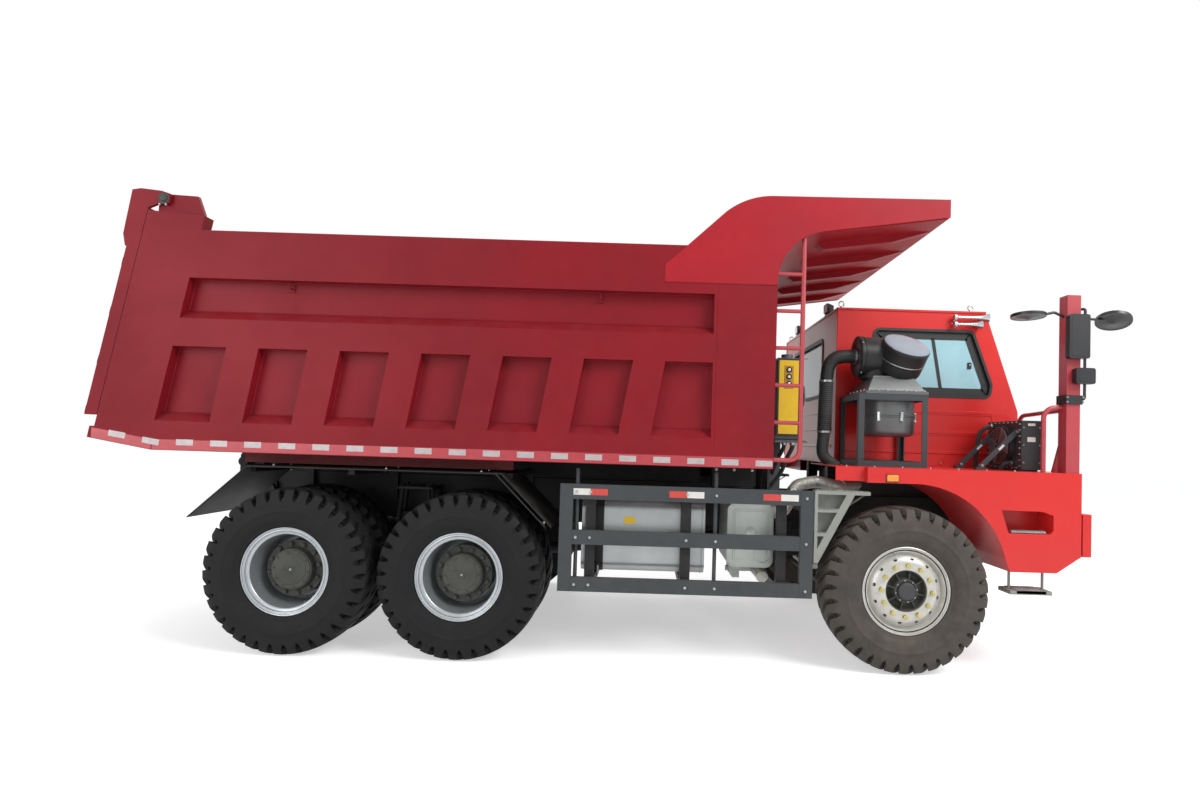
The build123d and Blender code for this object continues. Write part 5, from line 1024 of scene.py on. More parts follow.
def mufflerDetails():
    shape = Shape(mufflerPaint)
    (x0, x1), (y0, y1), (z0, z1) = muffler["x"], muffler["y"], muffler["z"]
    inset = muffler["panel"]
    # stepped pressing on the near and far side
    for y, out in ((y0, -1), (y1, 1)):
        for grow, high in ((0, 5), (16, 9)):
            a, b, c, d = x0 + inset + grow, x1 - inset - grow, z0 + inset + grow, z1 - inset - grow
            shape.plate(roundedEnd((a, b), (c, d), 26, 5), (y - out * 2, y + out * high), edge=2.5)
        for x in (x0 + 24, x1 - 24):
            for z in (z0 + 24, z1 - 24):
                shape.hexHead((x, y, z), (0, out, 0), 15, 8)
    # a blank round plate
    shape.disc(((x0 + x1) / 2, y0 - 9, (z0 + z1) / 2 + 40), (0, -1, 0), [(-1, 0), (-1, 46), (3, 44),
        (3.4, 38), (2, 36), (2, 0)], 32)
    # the outlet below turns outwards
    shape.pipe([(-1123, -1250, 800), (-1123, -1262, 760), (-1123, -1320, 724), (-1123, -1372, 706)], 50,
        laggingFoil, count=20)
    shape.disc((-1123, -1250, 786), (0, 0, -1), [(-2, 0), (-2, 74), (8, 74), (8, 0)], 28)
    finishPiece(shape, "muffler_pressings", "chassis", angle=38)


mufflerDetails()

exhaustRoute = {"points": [(-1042, -1220, 1235), (-985, -1220, 1235), (-930, -1220, 1250), (-885, -1220,
    1320), (-850, -1220, 1410), (-810, -1220, 1468), (-740, -1220, 1490), (-650, -1218, 1503), (-560, -1215,
    1490), (-470, -1190, 1471), (-390, -1085, 1468), (-210, -810, 1466), (-140, -680, 1465), (-130, -560,
    1465), (-130, -324, 1465)], "radius": 54, "bands": 5}


def exhaustPipe():
    # lagged pipe: bandages wound on in overlapping turns, held by bands
    shape = Shape(castIron)
    random.seed(5)
    turns = 64
    wobble = [random.uniform(-1.2, 1.2) for _ in range(turns + 2)]

    def thickness(t):
        k = t * turns
        return exhaustRoute["radius"] - 4 + 4.5 * (k - int(k)) + wobble[int(k)] * 0.8

    shape.pipe(exhaustRoute["points"], 0, laggingFoil, count=28, smooth=14, radii=thickness)
    line = smoothLine(exhaustRoute["points"], 14)
    for i in range(exhaustRoute["bands"]):
        k = int((i + 0.5) / exhaustRoute["bands"] * (len(line) - 1))
        ahead = (line[k + 1] - line[k - 1]).normalized()
        shape.lathe([(-9, 50), (-9, 56), (9, 56), (9, 50)], line[k], ahead, 32, finish=zincBright)
        shape.hexHead(line[k] + Vector((0, -8, 54)), (0, -1, 0), 9, 8)
    for place, axis in (((-1040, -1220, 1235), (1, 0, 0)), ((-130, -326, 1465), (0, -1, 0))):
        shape.lathe([(0, 40), (0, 78), (12, 78), (12, 40)], place, axis, 32)
    finishPiece(shape, "exhaust_lagged_pipe", "chassis", ["exhaust_pipe"], angle=32)


exhaustPipe()
print("exhaust: done")


guard = {
    "rearX": -2809, "frontX": -753, "y": 1580,
    "bars": [(1325, 1446), (960, 1074), (582, 695)],
    # tapes on the top bar: where each starts and how long it is, as shares of the bar
    "tapes": [(0.052, 0.068, "white"), (0.12, 0.068, "red"), (0.43, 0.07, "red"), (0.5, 0.068, "white"),
              (0.80, 0.07, "red"), (0.87, 0.07, "white")],
}


def guardTapes():
    shape = Shape(guardPaint)
    rear, front, y = guard["rearX"], guard["frontX"], guard["y"]
    middle = sum(guard["bars"][0]) / 2
    for side in (-1, 1):
        for start, share, colour in guard["tapes"]:
            x = rear + start * (front - rear)
            finish = guardTapeWhite if colour == "white" else guardTapeRed
            shape.slab((x, x + share * (front - rear) - 1.5), (side * (y - 1), side * (y + 1.5)),
                (middle - 26, middle + 26), finish, edge=0.5)
        for low, high in guard["bars"]:
            # bolts through to the stays and weld beads at the bars' ends
            for x in (-2675, -2560, -1780, -1542, -810):
                shape.hexHead((x, side * (y - 0.5), (low + high) / 2), (0, side, 0), 19, 11)
            for x in (rear + 105, front - 105):
                weld(shape, (x, side * (y - 1), low + 3), (x, side * (y - 1), high - 3), 4, 12)
    finishPiece(shape, "guard_tapes_and_bolts", "chassis", angle=40)


random.seed(21)
guardTapes()
print("guards: done")


oilTank = {"sideY": -1325, "plate": (-1012, -846, 1908, 2536), "gauges": [(-929, 2455), (-929, 2395),
    (-929, 2335)]}


def oilTankDetails():
    shape = Shape(oilPaint)
    y = oilTank["sideY"]
    x0, x1, z0, z1 = oilTank["plate"]
    shape.slab((x0 - 16, x1 + 16), (y - 5, y + 1), (z0 - 16, z1 + 16), sealRubber, edge=2)
    shape.slab((x0, x1), (y - 8, y - 3), (z0, z1), platePaint, edge=1.5)
    # darker yellow pad behind the knobs, painted shade of their recess
    shape.slab((-969, -889), (y - 11, y - 7), (2294, 2490), plateShaded, edge=2)
    for x, z in oilTank["gauges"]:
        shape.disc((x, y - 6, z), (0, -1, 0), [(-2, 0), (-2, 25), (7, 25), (10, 22), (10, 17), (6, 15),
            (6, 0)], 32, finish=sealRubber)
        shape.disc((x, y - 12, z), (0, -1, 0), [(0, 0), (0, 14), (4, 12), (6, 6), (6, 0)], 24,
            finish=clearLens)
    # sight glass, clean-out covers with their bolts, hoses down to the pump
    shape.rod((-820, y - 10, 1900), (-820, y - 10, 2110), 9, finish=clearLens)
    for z in (1900, 2110):
        shape.slab((-834, -806), (y - 20, y + 1), (z - 12, z + 12), zincBright, edge=2)
    for cy in (-1120, -640):
        shape.disc((-762, cy, 2250), (1, 0, 0), [(-6, 0), (-6, 96), (4, 96), (5, 92), (5, 0)], 40)
        for place in circle(Vector((-757, cy, 2250)), Vector((0, 82, 0)), Vector((0, 0, 82)), 8):
            shape.hexHead(place, (1, 0, 0), 14, 8)
    for cy in (-1260, -900, -500):
        shape.pipe([(-870, cy, 1846), (-872, cy + 10, 1790), (-900, cy + 80, 1700), (-930, cy + 200, 1560),
            (-930, max(-560, cy + 320), 1400), (-930, max(-520, cy + 360), 1330)], 19, hoseRubber, count=14)
        shape.lathe([(-4, 12), (-4, 27), (30, 25), (30, 12)], (-870, cy, 1846), (0, 0, -1), 20,
            finish=zincBright)
    for z in (1852, 2553):
        weld(shape, (-1030, y - 1, z), (-770, y - 1, z), 4, 14)
    finishPiece(shape, "oil_tank_fittings", "chassis", angle=38)


oilTankDetails()
print("oil tank: done")


bogie = {"x": -4268, "rod": 17}


def bogieClamps():
    shape = Shape(framePaint)
    for side in (-1, 1):
        y = side * 640
        # two slanted pairs of rods down to the saddle
        for dx, lean in ((-118, -40), (118, 40)):
            for dy in (-66, 66):
                top = (bogie["x"] + dx, y + dy, 1330)
                foot = (bogie["x"] + dx + lean, y + dy, 880)
                shape.rod(foot, top, bogie["rod"])
                shape.hexHead((top[0], top[1], 1322), (0, 0, 1), 34, 26, framePaint)
        shape.plate([(bogie["x"] - 175, 1296), (bogie["x"] - 150, 1322), (bogie["x"] + 150, 1322),
            (bogie["x"] + 175, 1296)], (y - 100, y + 100), castIron, edge=6)
    finishPiece(shape, "bogie_clamps", "chassis", angle=40)


mudguard = {"line": [(-5804, 1088), (-5343, 1512), (-3337, 1512), (-2918, 1093)], "outerY": 1597,
    "boltX": (-5200, -4268, -3480), "boltY": (900, 1180, 1460), "clampY": (860, 1200, 1540)}


def mudguardDetails():
    shape = Shape(framePaint)
    points = mudguard["line"]
    for side in (-1, 1):
        y = side * mudguard["outerY"]
        # a wired edge along the plate's outside and the seams between its three sheets
        for a, b in zip(points, points[1:]):
            shape.rod((a[0], y, a[1] - 4), (b[0], y, b[1] - 4), 6, count=10)
        for x, z in points[1:-1]:
            weld(shape, (x, side * 810, z + 1), (x, side * 1590, z + 1), 4, 20)
        for x in mudguard["boltX"]:
            for dy in mudguard["boltY"]:
                shape.hexHead((x, side * dy, points[1][1] - 1), (0, 0, 1), 18, 9)
        # flap clamps at both low ends
        for (x, z), (dx, dz) in ((points[0], (-0.735, -0.678)), (points[-1], (0.706, -0.708))):
            for dy in mudguard["clampY"]:
                shape.hexHead((x - dx * 30, side * dy, z - dz * 30 + 4), (-dz * 0.9, 0, 0.7), 16, 9)
    finishPiece(shape, "mudguard_edges", "chassis", angle=40)


rail = {"outerY": 430, "innerY": 338, "boltZ": (1075, 1265), "linesZ": (1130, 1156, 1182), "lampX": -6092,
    "lampY": 300, "lampZ": 1240}


def frameDetails():
    # rail bolts, air lines along the inside with their brackets, tail lamps
    shape = Shape(trimPlastic)
    for side in (-1, 1):
        outer, inner = side * rail["outerY"], side * rail["innerY"]
        for x in range(-5700, 1200, 300):
            if -1640 < x < -700:
                continue
            for z in rail["boltZ"]:
                shape.hexHead((x, outer, z), (0, side, 0), 22, 13, framePaint)
        for z in rail["linesZ"]:
            shape.pipe([(-5600, inner, z), (-4700, inner - side * 4, z + 2), (-3300, inner, z - 2),
                (-1900, inner - side * 4, z + 1), (-700, inner, z - 1)], 8, hoseRubber, count=8, smooth=4)
        for x in range(-5400, -700, 600):
            shape.slab((x - 14, x + 14), (inner + side * 3, inner - side * 14), (1112, 1200), zincBright,
                edge=2)
        # tail lamps in a guarded box on the rear crossmember
        x, y, z = rail["lampX"], side * rail["lampY"], rail["lampZ"]
        shape.slab((x - 2, x + 32), (y - 115, y + 115), (z - 50, z + 50), edge=6)
        for dy, finish in ((-74, redLens), (0, amberLens), (74, clearLens)):
            shape.disc((x, y + dy, z), (-1, 0, 0), [(-2, 0), (-2, 32), (6, 31), (10, 24), (12, 0)], 28,
                finish=finish)
    finishPiece(shape, "frame_fittings", "chassis", angle=40)


bogieClamps()
random.seed(31)
mudguardDetails()
frameDetails()
print("frame details: done")


leftSide = {"battery": (-2640, -1900, 832, 1440), "airTanks": (-1820, -1000, 140)}


def leftDetails():
    shape = Shape(framePaint)
    x0, x1, y0, y1 = leftSide["battery"]
    for x in (x0 + 120, x1 - 120):
        # lid catches
        shape.slab((x - 18, x + 18), (y1 + 10, y1 + 24), (1170, 1262), zincBright, edge=3)
        shape.slab((x - 9, x + 9), (y1 + 20, y1 + 34), (1200, 1216), zincBright, edge=2)
        shape.slab((x - 13, x + 13), (y0 - 16, y0 + 12), (1298, 1316), trimPlastic, edge=3)
    for k in range(5):
        x = x0 + 110 + k * 130
        shape.slab((x - 34, x + 34), (y1 - 2, y1 + 7), (830, 1160), trimPlastic, edge=4)
    low, high, radius = leftSide["airTanks"]
    for y in (880, 1220):
        for x in (low + 200, high - 200):
            shape.lathe([(-20, radius - 4), (-20, radius + 4), (20, radius + 4), (20, radius - 4)],
                (x, y, 822), (1, 0, 0), 48)
            shape.hexHead((x, y, 822 + radius + 3), (0, 0, 1), 14, 10)
        for x in (low, high):
            out = -1 if x == low else 1
            shape.disc((x, y, 822), (out, 0, 0), [(-3, 0), (-3, radius - 6), (6, radius - 8),
                (18, radius - 34), (26, 40), (28, 20), (34, 18), (34, 0)], 48)
            weld(shape, (x - out * 12, y - 3, 822 - radius - 1), (x - out * 12, y + 3, 822 - radius - 1), 3,
                4)
    finishPiece(shape, "left_side_fittings", "chassis", angle=38)


leftDetails()
print("left side: done")


cab = {"rightY": -700, "leftY": 1600, "rearX": -348, "roofZ": 3130, "roofFrontX": 1050, "beltX": 1366,
    "beltZ": 2194, "window": [(0, 2940), (930, 2940), (1112, 2440), (1095, 2321), (0, 2321)],
    "doorWindow": [(135, 2330), (879, 2330), (670, 2955), (135, 2955)], "rearWindow": ((-180, 1100),
    (2330, 2900)), "border": 82, "swages": [2172, 1978, 1790], "panels": [(1808, 1960), (1996, 2154)]}


def roundCorners(points, radius, steps=6):
    # a polygon with its corners rounded
    out = []
    for i, p in enumerate(points):
        p = Vector(p)
        before, after = Vector(points[i - 1]) - p, Vector(points[(i + 1) % len(points)]) - p
        cut = min(radius / tan(before.angle(after) / 2), 0.45 * before.length, 0.45 * after.length)
        a, b = p + before.normalized() * cut, p + after.normalized() * cut
        for t in (k / steps for k in range(steps + 1)):
            out.append((a * (1 - t) ** 2 + p * 2 * t * (1 - t) + b * t * t).to_tuple())
    return out


def roundBox(xs, zs, radius, steps=6):
    return roundCorners([(xs[0], zs[0]), (xs[1], zs[0]), (xs[1], zs[1]), (xs[0], zs[1])], radius, steps)


def grown(outline, by):
    # every point moved out along its corner's normal
    out = []
    count = len(outline)
    area = sum(outline[i - 1][0] * outline[i][1] - outline[i][0] * outline[i - 1][1] for i in range(count))
    turn = 1 if area > 0 else -1
    for i in range(count):
        ahead = (Vector(outline[(i + 1) % count]) - Vector(outline[i - 1])).normalized()
        out.append((outline[i][0] + turn * ahead.y * by, outline[i][1] - turn * ahead.x * by))
    return out


def frameOn(shape, outline, spread, heights, place, finish=None):
    # a flat ring along an outline: spread is (in, out) and heights is (low, high); place makes the 3-D point
    low, high = heights
    rings = [[place(a, low), place(a, high), place(b, high), place(b, low)] for a, b in zip(grown(outline,
        -spread[0]), grown(outline, spread[1]))]
    shape.soften(shape.faces(rings, finish, closeAlong=True), 1.2)


def onRight(p, out):
    return (p[0], cab["rightY"] - out, p[1])


def onLeft(p, out):
    return (p[0], cab["leftY"] + out, p[1])


def onRear(p, out):
    return (cab["rearX"] - out, p[0], p[1])


def screenX(z):
    return cab["beltX"] - (z - cab["beltZ"]) * (cab["beltX"] - cab["roofFrontX"]) / (cab["roofZ"]
        - cab["beltZ"])


def cabWindows():
    shape = Shape(sealRubber)
    outline = roundCorners(cab["window"], 62)
    frameOn(shape, outline, (12, 14), (-6, 7), onRight)
    frameOn(shape, outline, (cab["border"], -4), (-24, -18), onRight)
    # divider and the sliding pane's catch
    shape.faces([[(548, -682, 2870), (578, -682, 2870), (578, -672, 2870), (548, -672, 2870)],
        [(628, -682, 2398), (658, -682, 2398), (658, -672, 2398), (628, -672, 2398)]], caps=True)
    shape.slab((896, 930), (-690, -672), (2590, 2650), edge=3)
    shape.rod((912, -696, 2626), (912, -676, 2626), 9, finish=zincBright)
    frameOn(shape, roundBox(*cab["rearWindow"], 60), (16, 22), (-4, 8), onRear)
    # windscreen rubber on the slope, drawn in y and height
    screen = roundBox((-640, 1540), (2275, 3040), 70)
    frameOn(shape, screen, (26, 16), (-4, 8), lambda p, out: (screenX(p[1]) + out * 0.95, p[0],
        p[1] + out * 0.3))
    for y in (-150, 850):
        # wipers: arm, blade and spindle
        shape.disc((screenX(2240) + 4, y, 2240), (0.95, 0, 0.3), [(0, 0), (0, 20), (16, 18), (20, 0)], 20,
            finish=trimPlastic)
        shape.pipe([(screenX(2245) + 20, y, 2245), (screenX(2440) + 20, y + 120, 2440), (screenX(2600) + 14,
            y + 180, 2600)], 6, trimPlastic, count=8, smooth=3)
        shape.pipe([(screenX(2380) + 8, y + 20, 2380), (screenX(2600) + 10, y + 180, 2600),
            (screenX(2830) + 8, y + 340, 2830)], 7, count=8, smooth=3)
    finishPiece(shape, "cab_window_rubbers", "chassis", angle=40)


def doorTrim():
    shape = Shape(cabPaint)
    frameOn(shape, roundCorners(cab["doorWindow"], 45), (14, 14), (-6, 7), onLeft, finish=sealRubber)
    shape.slab((104, 236), (1603, 1612), (2166, 2226), trimPlastic, edge=4)
    shape.disc((262, 1600, 2196), (0, 1, 0), [(-1, 0), (-1, 16), (6, 14), (7, 0)], 20, finish=zincBright)
    for low, high in cab["panels"]:
        frameOn(shape, roundBox((150, 900), (low, high), 34), (9, 9), (-2, 6), onLeft)
    shape.slab((120, 960), (1598, 1606), (1756, 1772), edge=3)
    finishPiece(shape, "door_trim", "door", angle=40)


def cabPressings():
    shape = Shape(cabPaint)
    y = cab["rightY"]
    # swages run the length of the wall
    for z in cab["swages"]:
        shape.plate(roundBox((-300, 1130), (z - 15, z + 15), 14, 5), (y - 8, y + 2), edge=5)
    for low, high in cab["panels"]:
        for ends in ((-300, 480), (520, 1130)):
            frameOn(shape, roundBox(ends, (low, high), 34), (9, 9), (-2, 5), onRight)
    # roof gutter, rear corner moulding and sill seam
    for gy in (cab["rightY"], cab["leftY"]):
        out = -1 if gy < 0 else 1
        shape.slab((cab["rearX"] - 4, cab["roofFrontX"] + 4), (gy - out * 14, gy + out * 9), (3112, 3134),
            edge=3)
        shape.slab((cab["rearX"] - 6, cab["rearX"] + 12), (gy - out * 12, gy + out * 4), (1700, 3126), edge=4)
    shape.slab((cab["rearX"] - 8, cab["rearX"] + 12), (cab["rightY"], cab["leftY"]), (3112, 3134), edge=3)
    # rear wall swages and cab sill bolts
    for z in (1820, 1990, 2160):
        shape.slab((cab["rearX"] - 6, cab["rearX"] + 2), (-560, 1460), (z - 14, z + 14), edge=4)
    for x in range(-250, 1200, 180):
        shape.hexHead((x, y, 1690), (0, -1, 0), 15, 8)
    finishPiece(shape, "cab_pressings", "chassis", angle=40)


def liftingEye(shape, x, y, z):
    shape.disc((x, y, 3126), (0, 0, 1), [(0, 0), (0, 20), (10, 18), (12, 12), (z - 3126 - 22, 9),
        (z - 3126 - 20, 0)], 20, finish=castAluminium)
    middle, side = Vector((x, y, z)), Vector((0, 7, 0))
    ring = circle(middle, Vector((24, 0, 0)), Vector((0, 0, 24)), 24)
    shape.faces([circle(p, (p - middle) * 7 / 24, side, 10) for p in ring], castAluminium, closeAlong=True)


def cabRoof():
    shape = Shape(trimPlastic)
    for x, y in ((-300, -650), (930, -650), (-300, 1550), (930, 1550)):
        liftingEye(shape, x, y, 3178)
    # two trumpets one above the other on a bracket
    for x0, x1, z in ((728, 1048, 3066), (728, 985, 3000)):
        y = -752
        shape.disc((x0, y, z), (1, 0, 0), [(0, 0), (0, 26), (10, 28), (24, 28), (30, 24), (34, 12),
            (x1 - x0 - 130, 14), (x1 - x0 - 60, 20), (x1 - x0 - 22, 30), (x1 - x0, 42), (x1 - x0 + 2, 43),
            (x1 - x0 - 2, 38), (x1 - x0 - 30, 22), (x1 - x0 - 60, 0)], 32, finish=castAluminium)
        shape.slab((x0 + 30, x0 + 46), (y - 8, -699), (z - 10, z + 10), zincBright, edge=2)
    shape.slab((744, 770), (-709, -699), (2975, 3090), zincBright, edge=2)
    # work lamps above the rear wall, turned to the bed
    for y in (-300, 1000):
        shape.slab((-356, -300), (y - 70, y + 70), (3128, 3142), edge=3)
        for dy in (-50, 50):
            shape.slab((-346, -322), (y + dy * 1.3 - 4, y + dy * 1.3 + 4), (3138, 3196), edge=2)
        shape.faces([[(-290, y - 44, 3172), (-290, y + 44, 3172), (-290, y + 44, 3224), (-290, y - 44, 3224)],
            [(-340, y - 58, 3156), (-340, y + 58, 3156), (-340, y + 58, 3240), (-340, y - 58, 3240)],
            [(-362, y - 60, 3152), (-362, y + 60, 3152), (-362, y + 60, 3244), (-362, y - 60, 3244)]],
            caps=True)
        shape.slab((-368, -360), (y - 52, y + 52), (3160, 3236), clearLens, edge=2)
        for k in range(4):
            shape.slab((-300, -290), (y - 40, y + 40), (3178 + 10 * k, 3182 + 10 * k), edge=1)
    # roof ribs and the aerial's base
    for y in (-350, 50, 450, 850, 1250):
        shape.slab((-250, 930), (y - 30, y + 30), (3127, 3139), cabPaint, edge=5)
    shape.disc((700, 1400, 3128), (0, 0, 1), [(0, 0), (0, 24), (14, 20), (22, 8), (30, 4), (200, 2.5),
        (201, 0)], 16)
    finishPiece(shape, "cab_roof_fittings", "chassis", angle=38)


cabWindows()
doorTrim()
cabPressings()
cabRoof()
print("cab: done")


seat = {"x": 260, "topZ": 2160, "width": 480, "ys": [-80, 980], "floor": 1706}


def cushion(shape, centre, size, turn=Matrix(), channels=(), roundness=0.42, pull=0.05, seam=5, count=56,
        rows=30):
    # a crowned form whose sides pull in between the corners; channels are sewn lines across its top
    place = Matrix.Translation(centre) @ turn
    half = [s / 2 for s in size]
    power = lambda v, e: copysign(abs(v) ** e, v)
    rings = []
    for i in range(1, rows):
        lat = -pi / 2 + pi * i / rows
        ring = []
        for j in range(count):
            lon = 2 * pi * j / count
            x = power(cos(lat), roundness) * power(cos(lon), roundness * 0.62)
            y = power(cos(lat), roundness) * power(sin(lon), roundness * 0.62)
            z = power(sin(lat), roundness)
            x *= 1 - pull * (1 - y * y)
            y *= 1 - pull * (1 - x * x)
            crown = 1 + 0.16 * (1 - x * x) * (1 - y * y) if z > 0 else 1.0
            p = Vector((x * half[0], y * half[1], z * half[2] * crown))
            for axis, at in channels:
                off = (p.x if axis == "x" else p.y) - at
                if z > 0.2:
                    p.z -= 9 * exp(-(off / 7) ** 2)
            # the seam round the edge is nipped in
            nip = exp(-((p.z - 0.45 * half[2]) / 5) ** 2)
            p.x -= copysign(seam * nip * abs(x), x)
            p.y -= copysign(seam * nip * abs(y), y)
            ring.append(place @ p)
        rings.append(ring)
    shape.faces(rings, caps=True)


def piping(shape, centre, size, turn=Matrix(), pull=0.05):
    # the corded edge where top and side panels meet
    place = Matrix.Translation(centre) @ turn
    line = []
    for j in range(72):
        lon = 2 * pi * j / 72
        x = copysign(abs(cos(lon)) ** 0.26, cos(lon))
        y = copysign(abs(sin(lon)) ** 0.26, sin(lon))
        line.append(Vector((x * size[0] / 2 * (1 - pull * (1 - y * y)),
            y * size[1] / 2 * (1 - pull * (1 - x * x)), 0.45 * size[2] / 2)))
    rings = []
    for i, p in enumerate(line):
        ahead = (line[(i + 1) % 72] - line[i - 1]).normalized()
        side = ahead.cross(Vector((0, 0, 1)))
        rings.append(circle(p, side * 4, Vector((0, 0, 4)), 8))
    shape.faces(rings, sealRubber, closeAlong=True, turn=place)


def makeSeats():
    x, top = seat["x"], seat["topZ"]
    # what is padded: centre, size, how far it leans and the sewn channels
    pads = [((x + 250, top - 78), (478, 460, 118), 0, (("y", -118), ("y", 118), ("x", -70), ("x", 80))),
        ((x - 30, top + 236), (640, 440, 96), 101, (("y", -112), ("y", 112), ("x", 40), ("x", -110))),
        ((x - 98, top + 655), (150, 262, 82), 100, ())]
    for name, y in zip(("passenger", "driver"), seat["ys"]):
        shape = Shape(seatCloth)
        for (padX, padZ), size, lean, channels in pads:
            turn = Matrix.Rotation(radians(lean), 4, "Y")
            cushion(shape, (padX, y, padZ), size, turn, channels)
            if channels:
                piping(shape, (padX, y, padZ), size, turn)
        piece = finishPiece(shape, f"seat_cushions_{name}", "chassis", ["cab_seats"], angle=60)
    shape = Shape(trimPlastic)
    low, high, folds = seat["floor"], top - 150, 7
    for y in seat["ys"]:
        # scissor suspension, its bellows, slides and levers
        shape.slab((x + 60, x + 400), (y - 170, y + 170), (low, low + 26), engineIron, edge=4)
        shape.slab((x + 30, x + 430), (y - 190, y + 190), (high - 24, high + 8), edge=6)
        rings = []
        for k in range(folds * 2 + 1):
            out = 14 if k % 2 else 0
            outline = roundBox((x + 75 - out, x + 385 + out), (y - 150 - out, y + 150 + out), 40, 4)
            rings.append([(*p, low + 26 + (high - low - 50) * k / (folds * 2)) for p in outline])
        shape.faces(rings, sealRubber, caps=True)
        shape.pipe([(x + 380, y - 200, high - 10), (x + 420, y - 205, high - 6), (x + 452, y - 205,
            high + 14)], 8, count=10)
        for dy in (-70, 70):
            shape.rod((x - 82, y + dy, top + 530), (x - 96, y + dy, top + 615), 6, finish=zincBright)
        # lap belt anchor and stalk
        shape.pipe([(x + 60, y + 215, high), (x + 70, y + 232, high + 90), (x + 84, y + 236, high + 150)], 9,
            sealRubber, count=10)
        shape.slab((x + 66, x + 104), (y + 226, y + 244), (high + 140, high + 200), edge=4)
    finishPiece(shape, "seat_suspensions", "chassis", ["cab_seats"], angle=38)


makeSeats()
print("seats: done")


nose = {"marker": (-178, -83, 1545, 1600), "sideY": 1600, "bumperX": 1487}


def noseDetails():
    shape = Shape(trimPlastic)
    x0, x1, z0, z1 = nose["marker"]
    for side in (-1, 1):
        y = side * nose["sideY"]
        shape.slab((x0 - 5, x1 + 5), (y - side * 2, y + side * 6), (z0 - 5, z1 + 5), edge=2)
        shape.slab((x0, x1), (y, y + side * 17), (z0, z1), amberLens, edge=6)
        # bolts along the fender's edge to the deck, beaded arch lip
        for x in range(-480, 1380, 230):
            shape.hexHead((x, side * 1520, 1655), (0, 0, 1), 15, 8)
        # headlamps in the bumper: bezel, lens, reflector ring and a turn lamp beside
        for dy, r, lens in ((1240, 88, clearLens), (1010, 70, clearLens), (1430, 46, amberLens)):
            place = (nose["bumperX"], side * dy, 1160)
            shape.disc(place, (1, 0, 0), [(-14, 0), (-14, r + 14), (6, r + 14), (12, r + 8), (12, r),
                (2, r - 4), (2, 0)], 40)
            shape.disc(place, (1, 0, 0), [(1, 0), (1, r - 3), (8, r - 4), (13, r * 0.7), (16, r * 0.35),
                (17, 0)], 40, finish=lens)
        for dy in (820, 1560):
            for z in (1030, 1290):
                shape.hexHead((nose["bumperX"], side * dy * 0.985, z), (1, 0, 0), 24, 12)
    # grille slats and the uprights behind them
    slat = Shape(trimPlastic)
    slat.faces([[(1396, -740, 1352), (1414, -740, 1340), (1414, -740, 1346), (1398, -740, 1360)],
        [(1396, 740, 1352), (1414, 740, 1340), (1414, 740, 1346), (1398, 740, 1360)]], caps=True)
    shape.row(slat, 9, (0, 0, 32))
    upright = Shape(trimPlastic)
    upright.slab((1396, 1402), (-724, -718), (1340, 1630), edge=1)
    shape.row(upright, 11, (0, 144, 0))
    finishPiece(shape, "nose_lamps_and_grille", "chassis", angle=38)


noseDetails()
print("nose: done")


filterSet = {"centre": (11, -1028), "radius": 240, "z": (1918, 2276), "ringZ": 2098, "latches": 8,
    "flange": (-263, 271, -1312, -743, 2276, 2306), "hopperTop": (-165, 190, -1185, -875, 2446),
    "drumX": (-262, 40), "drumY": -1000, "drumZ": 2630, "drumRadius": 184, "bowl": (109, -1105, 2611),
    "bowlAxis": (0.14, -0.57, 0.81), "bowlRadius": 204, "bowlHalf": 137}


def standUp(place):
    # what is drawn round y is stood up round z at a place
    return Matrix.Translation(place) @ Matrix.Rotation(pi / 2, 4, "X")


